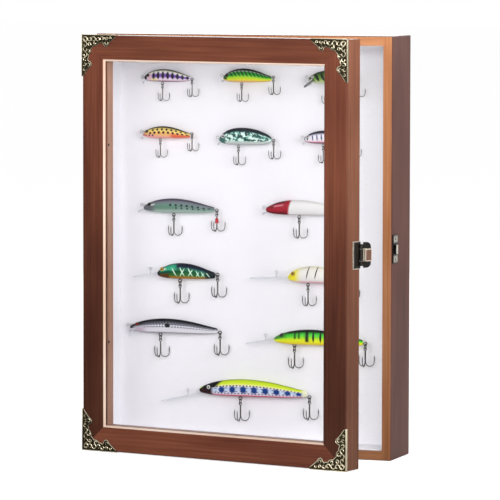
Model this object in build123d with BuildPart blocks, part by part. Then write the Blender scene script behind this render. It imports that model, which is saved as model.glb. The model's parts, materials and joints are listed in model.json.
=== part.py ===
from build123d import *
import os
from collections import namedtuple
from math import cos, radians, sin

# Wall or table display case for fishing lures: a shallow wooden box with a glazed door hinged on
# the left, a hasp latch on the right, ornamental metal corners, and crankbaits pinned on a board.
# Millimetres. X right, Y towards the back, Z up. The origin is the centre of the case's base.
# The door is drawn part-way open, as the case stands on show.

# ---------------------------------------------------------------- driving dimensions
CASE_W = 320.0          # outside width of case and door
CASE_H = 430.0          # outside height of the case
CASE_D = 62.0           # depth of the case body, without the door
WALL = 9.6              # thickness of the case boards
EDGE_ROUND = 1.0        # easing of the case's outer edges

BACK_RECESS = 5.0       # the back panel sits this far inside the rear edge
BACK_PANEL = 4.0
REBATE = 4.5            # how far the back panel is let into the walls
FIT_GAP = 0.2           # slack around let-in panels
FOAM = 12.0             # white pinning board
LINER = 1.5             # white lining on the inside walls
LINER_SETBACK = 5.0     # the lining stops this far behind the front edge

DOOR_T = 24.0           # door thickness
DOOR_Z = 1.0            # the door hangs this far above the base line
DOOR_H = CASE_H - 2 * DOOR_Z
DOOR_OPEN = 13.7        # opening angle at rest, in degrees
GAP = 0.8               # between the closed door and the case
STILE = 25.0            # flat face width of the door's sides
RAIL = 24.0             # flat face width of the door's top and bottom
BEVEL = 2.7             # rounded edge around the window
DOOR_ROUND = 1.5        # rounding of the door's outer front edges
GLASS_REBATE = 7.6      # how far the rebate goes in behind the window's edge
LIP = 4.0               # wood in front of the glass
GLASS = 2.0
GLASS_SLACK = 0.1
BEAD_DEPTH = 9.8        # front-to-back depth of the strips that hold the glass

HINGE_OUT = 2.4         # hinge axis outside the left side
HINGE_L = 38.0
HINGE_Z = (80.0, 350.0)
KNUCKLE_R = 2.1
HINGE_PIN_R = 1.0
RUNNING = 0.05          # radial clearance of pins in turning knuckles
LEAF = 1.0
LEAF_W = 8.5
LEAF_GAP = 0.1          # leaf face to the middle of the door gap

LATCH_Z = CASE_H / 2
LATCH_H = 28.0
PLATE = 1.5             # latch plates
HASP_OPEN = 25.0        # the hasp stands this far out from its closed line, in degrees
HASP_L = 11.0
HASP_H = 25.5
HASP_T = 1.2
BARREL_R = 1.9
BARREL_OUT = 2.3        # barrel axis outside the door's side
BARREL_BACK = 0.6       # barrel axis in front of the hinge line
LATCH_PIN_R = 0.8

CORNER_LEG = 42.5       # ornamental corners
CORNER_T = 0.8
FLANGE_T = 0.6
FLANGE_D = 3.0

BOARD_Y = 10.0          # front face of the pinning board
LURE_Y = 3.0            # middle plane of the lures, in front of the board

# ---------------------------------------------------------------- derived places
FRONT_Y = -CASE_D / 2
BACK_Y = CASE_D / 2
HALF_W = CASE_W / 2
INNER_X = HALF_W - WALL
HINGE_X = -HALF_W - HINGE_OUT
HINGE_Y = FRONT_Y - GAP / 2
PANEL_Y = BACK_Y - BACK_RECESS - BACK_PANEL

DOOR_X = Vector(cos(radians(DOOR_OPEN)), -sin(radians(DOOR_OPEN)), 0)
DOOR_FRONT = Vector(-sin(radians(DOOR_OPEN)), -cos(radians(DOOR_OPEN)), 0)
UP = Vector(0, 0, 1)
REAR_W = GAP / 2                    # door's rear face, measured forwards from the hinge line
FRONT_W = REAR_W + DOOR_T
LEFT_U = HINGE_OUT                  # door's left side, measured from the hinge line
RIGHT_U = LEFT_U + CASE_W
TOP_Z = DOOR_Z + DOOR_H
GLASS_W = FRONT_W - LIP - GLASS_SLACK - GLASS
BEAD_W = GLASS_W - GLASS_SLACK - BEAD_DEPTH


def front_plane(y):
    """Upright plane facing the front; sketches on it are drawn in x and z."""
    return Plane(origin=(0, y, 0), x_dir=(1, 0, 0), z_dir=(0, -1, 0))


def floor_plane(x, y, z):
    return Plane(origin=(x, y, z), x_dir=(1, 0, 0), z_dir=(0, 0, 1))


def door_point(u, z, w):
    """A point of the door: u across from the hinge line, z up, w forwards."""
    return Vector(HINGE_X, HINGE_Y, z) + DOOR_X * u + DOOR_FRONT * w


def door_plane(w):
    """Plane of the door, facing its front; sketches on it are drawn in u and z."""
    return Plane(origin=door_point(0, 0, w), x_dir=DOOR_X, z_dir=DOOR_FRONT)


def export(piece, name):
    piece.part.label = name
    export_step(piece.part, f"parts/{name}.step")


def flat_screw(head_r, shank_r, length, slot):
    """Slotted countersunk screw pointing down, with the top of its head at the origin."""
    with BuildPart() as screw:
        with BuildSketch(Plane.XZ):
            with BuildLine():
                Polyline((0, 0), (head_r, 0), (shank_r, shank_r - head_r), (shank_r, -length), (0, -length), close=True)
            make_face()
        revolve(axis=Axis.Z)
        if slot:
            with BuildSketch(Plane.XY):
                Rectangle(2 * head_r, slot)
            extrude(amount=-slot, mode=Mode.SUBTRACT)
    return screw.part


def dome_nail(head_r, head_h, shank_r, length):
    """Round-headed nail pointing down, its head resting on the origin plane."""
    ball_r = (head_r**2 + head_h**2) / (2 * head_h)
    mid_h = (ball_r**2 - head_r**2 / 4) ** 0.5 - ball_r + head_h
    with BuildPart() as nail:
        with BuildSketch(Plane.XZ):
            with BuildLine():
                ThreePointArc((head_r, 0), (head_r / 2, mid_h), (0, head_h))
                Polyline((0, head_h), (0, -length), (shank_r, -length), (shank_r, 0), (head_r, 0))
            make_face()
        revolve(axis=Axis.Z)
    return nail.part


def placed(solid, places):
    """One copy of a solid at each of a list of planes."""
    with BuildPart() as group:
        for place in places:
            add(solid.moved(place.location))
    return group


def drill(hole, places):
    """Takes a hole's shape out of the piece being made, at each of a list of planes."""
    for place in places:
        add(hole.moved(place.location), mode=Mode.SUBTRACT)


os.makedirs("parts", exist_ok=True)

# ---------------------------------------------------------------- screws and the holes for them
SCREW_SLOT = 0.45
HOLE_EXTRA = 0.05
LEAF_SCREW = (1.7, 0.7, 9.0)        # head radius, shank radius, length
PANEL_SCREW = (2.4, 1.1, 14.0)
HANGER_SCREW = (1.7, 0.8, 4.8)
LATCH_SCREW = (1.7, 0.7, 8.0)
BEAD_PIN = (1.5, 0.6, 14.0)
CORNER_NAIL = (1.4, 0.7, 0.55, 9.0)     # head radius, head height, shank radius, length


def screw_hole(size):
    head_r, shank_r, length = size
    return flat_screw(head_r + HOLE_EXTRA, shank_r + HOLE_EXTRA, length, 0)


leaf_screw = flat_screw(*LEAF_SCREW, SCREW_SLOT)
leaf_hole = screw_hole(LEAF_SCREW)
panel_screw = flat_screw(*PANEL_SCREW, SCREW_SLOT)
panel_hole = screw_hole(PANEL_SCREW)
hanger_screw = flat_screw(*HANGER_SCREW, SCREW_SLOT)
hanger_hole = screw_hole(HANGER_SCREW)
latch_screw = flat_screw(*LATCH_SCREW, SCREW_SLOT)
latch_hole = screw_hole(LATCH_SCREW)
bead_pin = flat_screw(*BEAD_PIN, 0)
bead_hole = screw_hole(BEAD_PIN)
corner_nail = dome_nail(*CORNER_NAIL)
with BuildPart() as nail_bore:
    Cylinder(CORNER_NAIL[2] + HOLE_EXTRA, 2 * CORNER_NAIL[3] + 0.2)

# places of the screws: each plane's z points out of the wood
LEAF_SCREW_U = 7.0
LEAF_SCREW_DZ = 12.0
hinge_screw_z = [z + side * LEAF_SCREW_DZ for z in HINGE_Z for side in (-1, 1)]
case_leaf_spots = [
    Plane(origin=(HINGE_X + LEAF_SCREW_U, HINGE_Y + LEAF_GAP, z), x_dir=(1, 0, 0), z_dir=(0, -1, 0))
    for z in hinge_screw_z
]
door_leaf_spots = [
    Plane(origin=door_point(LEAF_SCREW_U, z, LEAF_GAP), x_dir=DOOR_X, z_dir=-DOOR_FRONT)
    for z in hinge_screw_z
]

PANEL_SCREW_X = INNER_X + REBATE / 2
PANEL_SCREW_Z = WALL - REBATE / 2
PANEL_BACK_Y = PANEL_Y + BACK_PANEL
panel_spots = [
    Plane(origin=(side * PANEL_SCREW_X, PANEL_BACK_Y, CASE_H * share), x_dir=(1, 0, 0), z_dir=(0, 1, 0))
    for side in (-1, 1)
    for share in (0.15, 0.5, 0.85)
]
panel_spots += [
    Plane(origin=(0, PANEL_BACK_Y, z), x_dir=(1, 0, 0), z_dir=(0, 1, 0))
    for z in (PANEL_SCREW_Z, CASE_H - PANEL_SCREW_Z)
]

HANGER_X = 120.0
HANGER_Z = 386.0
HANGER_T = 1.2
HANGER_SCREW_DZ = 14.5
hanger_spots = [
    Plane(origin=(side * HANGER_X, PANEL_BACK_Y + HANGER_T, HANGER_Z + dz), x_dir=(1, 0, 0), z_dir=(0, 1, 0))
    for side in (-1, 1)
    for dz in (-HANGER_SCREW_DZ, HANGER_SCREW_DZ)
]

LATCH_SCREW_W = 8.2     # of the door's plate, forwards from the hinge line
LATCH_SCREW_DZ = 10.2
latch_door_spots = [
    Plane(
        origin=door_point(RIGHT_U + PLATE, LATCH_Z + side * LATCH_SCREW_DZ, LATCH_SCREW_W),
        x_dir=-DOOR_FRONT,
        z_dir=DOOR_X,
    )
    for side in (-1, 1)
]
CATCH_Y = (1.9, 16.9)   # front and rear edge of the catch, behind the hinge line
CATCH_SCREW_DZ = 10.5
catch_spots = [
    Plane(
        origin=(HALF_W + PLATE, HINGE_Y + sum(CATCH_Y) / 2, LATCH_Z + side * CATCH_SCREW_DZ),
        x_dir=(0, 1, 0),
        z_dir=(1, 0, 0),
    )
    for side in (-1, 1)
]

# ---------------------------------------------------------------- case boards
with BuildPart() as case_shell:
    with BuildSketch(front_plane(FRONT_Y)):
        with Locations((0, CASE_H / 2)):
            Rectangle(CASE_W, CASE_H)
    extrude(amount=-CASE_D)
    fillet(case_shell.edges(), EDGE_ROUND)
    with BuildSketch(front_plane(FRONT_Y)):
        with Locations((0, CASE_H / 2)):
            Rectangle(CASE_W - 2 * WALL, CASE_H - 2 * WALL)
    extrude(amount=-CASE_D, mode=Mode.SUBTRACT)
    with BuildSketch(front_plane(PANEL_Y)):
        with Locations((0, CASE_H / 2)):
            Rectangle(CASE_W - 2 * (WALL - REBATE), CASE_H - 2 * (WALL - REBATE))
    extrude(amount=-(BACK_Y - PANEL_Y), mode=Mode.SUBTRACT)


def case_board(x, z, width, height):
    """The part of the box's shell that one board takes up."""
    with BuildPart() as board:
        add(case_shell.part)
        with BuildSketch(front_plane(FRONT_Y)):
            with Locations((x, z)):
                Rectangle(width, height)
        extrude(amount=-CASE_D, mode=Mode.INTERSECT)
    return board


left_board = case_board(-HALF_W + WALL / 2, CASE_H / 2, WALL, CASE_H)
with BuildPart() as case_left_side:
    add(left_board.part)
    for hinge_z in HINGE_Z:
        with BuildSketch(front_plane(FRONT_Y)):
            with Locations((HINGE_X + (HINGE_OUT + LEAF_W) / 2, hinge_z)):
                Rectangle(HINGE_OUT + LEAF_W + FIT_GAP, HINGE_L + FIT_GAP)
        extrude(amount=-(LEAF + LEAF_GAP - GAP / 2), mode=Mode.SUBTRACT)
    drill(leaf_hole, case_leaf_spots)
    drill(panel_hole, panel_spots[:3])
export(case_left_side, "case_left_side")

right_board = case_board(HALF_W - WALL / 2, CASE_H / 2, WALL, CASE_H)
with BuildPart() as case_right_side:
    add(right_board.part)
    drill(latch_hole, catch_spots)
    drill(panel_hole, panel_spots[3:6])
export(case_right_side, "case_right_side")

bottom_board = case_board(0, WALL / 2, CASE_W - 2 * WALL, WALL)
with BuildPart() as case_bottom:
    add(bottom_board.part)
    drill(panel_hole, panel_spots[6:7])
export(case_bottom, "case_bottom")

top_board = case_board(0, CASE_H - WALL / 2, CASE_W - 2 * WALL, WALL)
with BuildPart() as case_top:
    add(top_board.part)
    drill(panel_hole, panel_spots[7:])
export(case_top, "case_top")

# ---------------------------------------------------------------- back panel, its screws and its hangers
HANGER_W = 24.0
HANGER_H = 38.0
KEY_HOLE_R = 4.2        # a wall screw's head goes in here
KEY_SLOT_R = 2.2        # its shank rides up here
KEY_RISE = 9.0
KEY_POCKET = (14.0, 22.0)

with BuildPart() as back_panel:
    with BuildSketch(front_plane(PANEL_Y)):
        with Locations((0, CASE_H / 2)):
            Rectangle(CASE_W - 2 * (WALL - REBATE + FIT_GAP), CASE_H - 2 * (WALL - REBATE + FIT_GAP))
        for side in (-1, 1):
            with Locations((side * HANGER_X, HANGER_Z)):
                Rectangle(*KEY_POCKET, mode=Mode.SUBTRACT)
    extrude(amount=-BACK_PANEL)
    drill(panel_hole, panel_spots)
    drill(hanger_hole, hanger_spots)
export(back_panel, "back_panel")
export(placed(panel_screw, panel_spots), "back_panel_screws")

with BuildPart() as hanger_plates:
    for side in (-1, 1):
        with BuildSketch(front_plane(PANEL_BACK_Y)):
            with Locations((side * HANGER_X, HANGER_Z)):
                RectangleRounded(HANGER_W, HANGER_H, 3)
                SlotCenterToCenter(KEY_RISE, 2 * KEY_SLOT_R, rotation=90, mode=Mode.SUBTRACT)
            with Locations((side * HANGER_X, HANGER_Z - KEY_RISE / 2)):
                Circle(KEY_HOLE_R, mode=Mode.SUBTRACT)
        extrude(amount=-HANGER_T)
    drill(hanger_hole, hanger_spots)
export(hanger_plates, "hanger_plates")
export(placed(hanger_screw, hanger_spots), "hanger_screws")

# ---------------------------------------------------------------- white linings inside the walls
LINER_FRONT = FRONT_Y + LINER_SETBACK
with BuildPart() as wall_liners:
    for side in (-1, 1):
        with BuildSketch(front_plane(LINER_FRONT)):
            with Locations((side * (INNER_X - LINER / 2), CASE_H / 2)):
                Rectangle(LINER, CASE_H - 2 * (WALL + LINER + FIT_GAP))
            with Locations((0, CASE_H / 2 + side * (CASE_H / 2 - WALL - LINER / 2))):
                Rectangle(CASE_W - 2 * WALL, LINER)
        extrude(amount=-(BOARD_Y - LINER_FRONT))
export(wall_liners, "wall_liners")

# ---------------------------------------------------------------- door frame, mitred at the corners
door_mid = ((LEFT_U + RIGHT_U) / 2, DOOR_Z + DOOR_H / 2)
window_w = CASE_W - 2 * (STILE + BEVEL)
window_h = DOOR_H - 2 * (RAIL + BEVEL)

outer = [(LEFT_U, DOOR_Z), (RIGHT_U, DOOR_Z), (RIGHT_U, TOP_Z), (LEFT_U, TOP_Z)]
inner_du = STILE + BEVEL
inner_dz = RAIL + BEVEL
inner = [
    (LEFT_U + inner_du, DOOR_Z + inner_dz),
    (RIGHT_U - inner_du, DOOR_Z + inner_dz),
    (RIGHT_U - inner_du, TOP_Z - inner_dz),
    (LEFT_U + inner_du, TOP_Z - inner_dz),
]
BOTTOM, RIGHT, TOP, LEFT = 0, 1, 2, 3
INWARD = {BOTTOM: UP, RIGHT: -DOOR_X, TOP: -UP, LEFT: DOOR_X}


def mitre_cut(corner, share):
    """A point on the line from a corner of the door to the window's corner; 0 is outer, 1 inner."""
    return tuple(a + (b - a) * share for a, b in zip(outer[corner], inner[corner]))


def cut_to_mitre(first, depth):
    """Keeps the piece being made between the mitres at both ends of one side of the door."""
    second = (first + 1) % 4
    ends = [mitre_cut(first, -0.2), mitre_cut(second, -0.2), mitre_cut(second, 1.2), mitre_cut(first, 1.2)]
    with BuildSketch(door_plane(REAR_W)) as kept:
        with BuildLine():
            Polyline(*ends, close=True)
        make_face()
    extrude(kept.sketch, amount=depth, mode=Mode.INTERSECT)


def frame_member(first):
    """One side of the door: its section drawn out along it, and both ends cut to the mitre."""
    upright = first in (LEFT, RIGHT)
    width = inner_du if upright else inner_dz
    length = DOOR_H if upright else CASE_W
    start = door_point(*outer[first], REAR_W)
    section = Plane(origin=start, x_dir=INWARD[first], z_dir=INWARD[first].cross(DOOR_FRONT))
    with BuildPart() as member:
        with BuildSketch(section.offset(-width)):
            with BuildLine():
                Polyline(
                    (0, 0),
                    (width - GLASS_REBATE, 0),
                    (width - GLASS_REBATE, DOOR_T - LIP),
                    (width, DOOR_T - LIP),
                    (width, DOOR_T - BEVEL),
                )
                RadiusArc((width, DOOR_T - BEVEL), (width - BEVEL, DOOR_T), -BEVEL)
                Line((width - BEVEL, DOOR_T), (DOOR_ROUND, DOOR_T))
                RadiusArc((DOOR_ROUND, DOOR_T), (0, DOOR_T - DOOR_ROUND), -DOOR_ROUND)
                Line((0, DOOR_T - DOOR_ROUND), (0, 0))
            make_face()
        extrude(amount=length + 2 * width)
        cut_to_mitre(first, DOOR_T)
    return member


# ---------------------------------------------------------------- strips and pins that hold the glass
with BuildPart() as bead_ring:
    with BuildSketch(door_plane(BEAD_W)):
        with Locations(door_mid):
            Rectangle(window_w + 2 * (GLASS_REBATE - GLASS_SLACK), window_h + 2 * (GLASS_REBATE - GLASS_SLACK))
            Rectangle(window_w, window_h, mode=Mode.SUBTRACT)
    extrude(amount=BEAD_DEPTH)

BEAD_PIN_DZ = 101.5
BEAD_PIN_DU = 75.0
BEAD_PIN_W = GLASS_W - GLASS_SLACK - 2.0
bead_spots = []
for side in (-1, 1):
    for offset in (-BEAD_PIN_DZ, BEAD_PIN_DZ):
        bead_spots.append(
            Plane(
                origin=door_point(door_mid[0] + side * window_w / 2, door_mid[1] + offset, BEAD_PIN_W),
                x_dir=UP,
                z_dir=DOOR_X * -side,
            )
        )
    for offset in (-BEAD_PIN_DU, BEAD_PIN_DU):
        bead_spots.append(
            Plane(
                origin=door_point(door_mid[0] + offset, door_mid[1] + side * window_h / 2, BEAD_PIN_W),
                x_dir=DOOR_X,
                z_dir=UP * -side,
            )
        )
export(placed(bead_pin, bead_spots), "bead_pins")


for name, side in (("left", LEFT), ("right", RIGHT), ("top", TOP), ("bottom", BOTTOM)):
    with BuildPart() as glazing_bead:
        add(bead_ring.part)
        cut_to_mitre(side, DOOR_T)
        drill(bead_hole, bead_spots)
    export(glazing_bead, f"glazing_bead_{name}")

with BuildPart() as glass_pane:
    with BuildSketch(door_plane(GLASS_W)):
        with Locations(door_mid):
            Rectangle(window_w + 2 * (GLASS_REBATE - 0.5), window_h + 2 * (GLASS_REBATE - 0.5))
    extrude(amount=GLASS)
export(glass_pane, "glass_pane")

# ---------------------------------------------------------------- where the ornamental corners are nailed
NAIL_FAR = 31.2         # along the leg
NAIL_NEAR = 6.2         # in from the door's edge
CORNERS = {"top_left": (1, -1), "top_right": (-1, -1), "bottom_left": (1, 1), "bottom_right": (-1, 1)}


def corner_point(side_u, side_z, a, b):
    """A point a in from the door's side and b in from its top or bottom."""
    u = LEFT_U + a if side_u > 0 else RIGHT_U - a
    z = DOOR_Z + b if side_z > 0 else TOP_Z - b
    return (u, z)


nail_spots = [
    Plane(
        origin=door_point(*corner_point(side_u, side_z, a, b), FRONT_W + CORNER_T),
        x_dir=DOOR_X,
        z_dir=DOOR_FRONT,
    )
    for side_u, side_z in CORNERS.values()
    for a, b in ((NAIL_FAR, NAIL_NEAR), (NAIL_NEAR, NAIL_FAR))
]

# ---------------------------------------------------------------- the four members of the door frame
left_member = frame_member(LEFT)
with BuildPart() as door_left_stile:
    add(left_member.part)
    for hinge_z in HINGE_Z:
        with BuildSketch(door_plane(REAR_W)):
            with Locations(((HINGE_OUT + LEAF_W) / 2, hinge_z)):
                Rectangle(HINGE_OUT + LEAF_W + FIT_GAP, HINGE_L + FIT_GAP)
        extrude(amount=LEAF + LEAF_GAP - GAP / 2, mode=Mode.SUBTRACT)
    drill(leaf_hole, door_leaf_spots)
    drill(bead_hole, bead_spots)
    drill(nail_bore.part, nail_spots)
export(door_left_stile, "door_left_stile")

right_member = frame_member(RIGHT)
with BuildPart() as door_right_stile:
    add(right_member.part)
    drill(latch_hole, latch_door_spots)
    drill(bead_hole, bead_spots)
    drill(nail_bore.part, nail_spots)
export(door_right_stile, "door_right_stile")

for name, side in (("top", TOP), ("bottom", BOTTOM)):
    rail_member = frame_member(side)
    with BuildPart() as door_rail:
        add(rail_member.part)
        drill(bead_hole, bead_spots)
        drill(nail_bore.part, nail_spots)
    export(door_rail, f"door_{name}_rail")

# ---------------------------------------------------------------- butt hinges
KNUCKLE_END = HINGE_L / 2
KNUCKLE_MID = 6.2
KNUCKLE_SPLIT = 6.5
PIN_CAP_R = 1.6
PIN_CAP_H = 0.9


def knuckle(x, y, low, high, radius, mode=Mode.ADD):
    """Barrel piece, or the bore through one, round an upright axis."""
    with Locations((x, y, (low + high) / 2)):
        Cylinder(radius, high - low, mode=mode)


with BuildPart() as hinge_case_leaves:
    for hinge_z in HINGE_Z:
        with BuildSketch(front_plane(HINGE_Y + LEAF_GAP)):
            with Locations((HINGE_X + HINGE_OUT + LEAF_W / 2, hinge_z)):
                Rectangle(LEAF_W, HINGE_L)
            for side in (-1, 1):
                with Locations((HINGE_X + HINGE_OUT / 2, hinge_z + side * (KNUCKLE_SPLIT + KNUCKLE_END) / 2)):
                    Rectangle(HINGE_OUT, KNUCKLE_END - KNUCKLE_SPLIT)
        extrude(amount=-LEAF)
        for side in (-1, 1):
            low, high = sorted((hinge_z + side * KNUCKLE_SPLIT, hinge_z + side * KNUCKLE_END))
            knuckle(HINGE_X, HINGE_Y, low, high, KNUCKLE_R)
        knuckle(
            HINGE_X,
            HINGE_Y,
            hinge_z - KNUCKLE_END,
            hinge_z + KNUCKLE_END,
            HINGE_PIN_R + HOLE_EXTRA,
            Mode.SUBTRACT,
        )
    drill(leaf_hole, case_leaf_spots)
export(hinge_case_leaves, "hinge_case_leaves")

with BuildPart() as hinge_door_leaves:
    for hinge_z in HINGE_Z:
        with BuildSketch(door_plane(LEAF_GAP)):
            with Locations((HINGE_OUT + LEAF_W / 2, hinge_z)):
                Rectangle(LEAF_W, HINGE_L)
            with Locations((HINGE_OUT / 2, hinge_z)):
                Rectangle(HINGE_OUT, 2 * KNUCKLE_MID)
        extrude(amount=LEAF)
        knuckle(HINGE_X, HINGE_Y, hinge_z - KNUCKLE_MID, hinge_z + KNUCKLE_MID, KNUCKLE_R)
        knuckle(
            HINGE_X,
            HINGE_Y,
            hinge_z - KNUCKLE_MID,
            hinge_z + KNUCKLE_MID,
            HINGE_PIN_R + RUNNING,
            Mode.SUBTRACT,
        )
    drill(leaf_hole, door_leaf_spots)
export(hinge_door_leaves, "hinge_door_leaves")

with BuildPart() as hinge_pins:
    for hinge_z in HINGE_Z:
        knuckle(HINGE_X, HINGE_Y, hinge_z - KNUCKLE_END, hinge_z + KNUCKLE_END, HINGE_PIN_R)
        knuckle(HINGE_X, HINGE_Y, hinge_z + KNUCKLE_END, hinge_z + KNUCKLE_END + PIN_CAP_H, PIN_CAP_R)
        knuckle(HINGE_X, HINGE_Y, hinge_z - KNUCKLE_END - PIN_CAP_H, hinge_z - KNUCKLE_END, PIN_CAP_R)
export(hinge_pins, "hinge_pins")
export(placed(leaf_screw, case_leaf_spots), "hinge_case_screws")
export(placed(leaf_screw, door_leaf_spots), "hinge_door_screws")

# ---------------------------------------------------------------- latch, door half
LATCH_FRONT = 13.9      # front edge of the door plate, forwards from the hinge line
HASP_KNUCKLE = 5.75     # half length of the hasp's own knuckle
KNUCKLE_IN = 6.1        # the plate's two knuckles
KNUCKLE_OUT = 10.9
door_side = Plane(origin=door_point(RIGHT_U, 0, 0), x_dir=-DOOR_FRONT, z_dir=DOOR_X)
barrel = door_point(RIGHT_U + BARREL_OUT, 0, BARREL_BACK)

with BuildPart() as latch_door_plate:
    with BuildSketch(door_side):
        with Locations((-(LATCH_FRONT + BARREL_BACK) / 2, LATCH_Z)):
            RectangleRounded(LATCH_FRONT - BARREL_BACK, LATCH_H, 1.5)
    extrude(amount=PLATE)
    knuckle(barrel.X, barrel.Y, LATCH_Z - KNUCKLE_OUT, LATCH_Z + KNUCKLE_OUT, BARREL_R)
    knuckle(barrel.X, barrel.Y, LATCH_Z - KNUCKLE_IN, LATCH_Z + KNUCKLE_IN, BARREL_R + 0.3, Mode.SUBTRACT)
    knuckle(
        barrel.X,
        barrel.Y,
        LATCH_Z - KNUCKLE_OUT,
        LATCH_Z + KNUCKLE_OUT,
        LATCH_PIN_R + HOLE_EXTRA,
        Mode.SUBTRACT,
    )
    drill(latch_hole, latch_door_spots)
export(latch_door_plate, "latch_door_plate")
export(placed(latch_screw, latch_door_spots), "latch_plate_screws")

with BuildPart() as latch_pin:
    knuckle(barrel.X, barrel.Y, LATCH_Z - KNUCKLE_OUT, LATCH_Z + KNUCKLE_OUT, LATCH_PIN_R)
export(latch_pin, "latch_pin")

# ---------------------------------------------------------------- latch, hasp with its hollow bump
HASP_IN = 0.3           # the hasp's inner face is this far inside its barrel's axis
HASP_START = 2.4
HASP_CORNER = 5.0
BUMP = (2.3, 9.9, 6.0, 4.4)         # start, end, half height, top above the axis
BUMP_HOLLOW = (3.0, 9.1, 5.2, 3.6)
hasp_turn = radians(HASP_OPEN)
hasp_dir = DOOR_FRONT * -cos(hasp_turn) + DOOR_X * sin(hasp_turn)
hasp_out = DOOR_X * cos(hasp_turn) + DOOR_FRONT * sin(hasp_turn)


def hasp_plane(height):
    """Plane of the hasp; sketches on it are drawn away from the barrel and up."""
    return Plane(origin=barrel + UP * LATCH_Z + hasp_out * height, x_dir=hasp_dir, z_dir=hasp_out)


def hasp_box(start, end, half_height, low, high, mode):
    with Locations(hasp_plane((low + high) / 2) * Pos((start + end) / 2, 0, 0)):
        Box(end - start, 2 * half_height, high - low, mode=mode)


with BuildPart() as latch_hasp:
    with BuildSketch(hasp_plane(-HASP_IN)):
        with BuildLine():
            Polyline((HASP_L, 0), (HASP_L, HASP_H / 2 - HASP_CORNER))
            RadiusArc((HASP_L, HASP_H / 2 - HASP_CORNER), (HASP_L - HASP_CORNER, HASP_H / 2), -HASP_CORNER)
            Polyline((HASP_L - HASP_CORNER, HASP_H / 2), (HASP_START, HASP_H / 2), (HASP_START, 0))
            mirror(about=Plane.XZ)
        make_face()
    extrude(amount=HASP_T)
    hasp_box(0, HASP_START, HASP_KNUCKLE, -HASP_IN, HASP_T - HASP_IN, Mode.ADD)
    knuckle(barrel.X, barrel.Y, LATCH_Z - HASP_KNUCKLE, LATCH_Z + HASP_KNUCKLE, BARREL_R)
    hasp_box(BUMP[0], BUMP[1], BUMP[2], 0, BUMP[3], Mode.ADD)
    hasp_box(BUMP_HOLLOW[0], BUMP_HOLLOW[1], BUMP_HOLLOW[2], -HASP_IN, BUMP_HOLLOW[3], Mode.SUBTRACT)
    knuckle(
        barrel.X,
        barrel.Y,
        LATCH_Z - HASP_KNUCKLE,
        LATCH_Z + HASP_KNUCKLE,
        LATCH_PIN_R + RUNNING,
        Mode.SUBTRACT,
    )
export(latch_hasp, "latch_hasp")

# ---------------------------------------------------------------- latch, catch on the case
CATCH_H = 29.0
HOOK_HALF = 4.6         # half width of the hook
catch_side = Plane(origin=(HALF_W, HINGE_Y, LATCH_Z), x_dir=(0, 1, 0), z_dir=(1, 0, 0))
# drawn backwards from the closed barrel's axis, and outwards from the case's side
hook_section = Plane(
    origin=(HALF_W, HINGE_Y - BARREL_BACK, LATCH_Z + HOOK_HALF), x_dir=(0, 1, 0), z_dir=(0, 0, -1)
)

with BuildPart() as latch_catch:
    with BuildSketch(catch_side):
        with Locations((sum(CATCH_Y) / 2, 0)):
            RectangleRounded(CATCH_Y[1] - CATCH_Y[0], CATCH_H, 2.0)
    extrude(amount=PLATE)
    with BuildSketch(hook_section):
        with BuildLine():
            Polyline((7.2, 1.0), (8.4, 1.0), (8.4, 3.4))
            RadiusArc((8.4, 3.4), (6.6, 5.2), -1.8)
            Line((6.6, 5.2), (5.4, 5.2))
            RadiusArc((5.4, 5.2), (4.1, 3.9), -1.3)
            Polyline((4.1, 3.9), (4.1, 3.0), (5.2, 3.0), (5.6, 4.0), (6.6, 4.0), (7.2, 3.2), (7.2, 1.0))
        make_face()
    extrude(amount=2 * HOOK_HALF)
    drill(latch_hole, catch_spots)
export(latch_catch, "latch_catch")
export(placed(latch_screw, catch_spots), "latch_catch_screws")

# ---------------------------------------------------------------- ornamental corners


def scallops(side_u, side_z, along):
    """Outline from the middle of the scrolled edge to the tip of one leg, drawn in the BuildLine."""
    edge = [(12.8, 12.8), (18.6, 9.0), (25.2, 6.8), (27.0, 8.2), (28.2, 10.4), (32.2, 11.2), (34.5, 7.8)]
    tip = [(34.5, 7.8), (CORNER_LEG, 1.0), (CORNER_LEG, -FLANGE_T), (-FLANGE_T, -FLANGE_T)]
    if not along:
        edge = [(b, a) for a, b in edge]
        tip = [(b, a) for a, b in tip]
    points = [corner_point(side_u, side_z, a, b) for a, b in edge]
    for start in (0, 2, 4):
        ThreePointArc(*points[start : start + 3])
    Polyline(*[corner_point(side_u, side_z, a, b) for a, b in tip])


for name, (side_u, side_z) in CORNERS.items():
    with BuildPart() as corner:
        with BuildSketch(door_plane(FRONT_W)) as corner_face:
            with BuildLine():
                scallops(side_u, side_z, True)
                scallops(side_u, side_z, False)
            make_face()
        extrude(amount=CORNER_T)
        for a, b, width, height in (
            ((CORNER_LEG - FLANGE_T) / 2, -FLANGE_T / 2, CORNER_LEG + FLANGE_T, FLANGE_T),
            (-FLANGE_T / 2, (CORNER_LEG - FLANGE_T) / 2, FLANGE_T, CORNER_LEG + FLANGE_T),
        ):
            with BuildSketch(door_plane(FRONT_W - FLANGE_D)):
                with Locations(corner_point(side_u, side_z, a, b)):
                    Rectangle(width, height)
            extrude(amount=FLANGE_D + CORNER_T)
        drill(nail_bore.part, nail_spots)
    export(corner, f"corner_{name}")
export(placed(corner_nail, nail_spots), "corner_nails")

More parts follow.
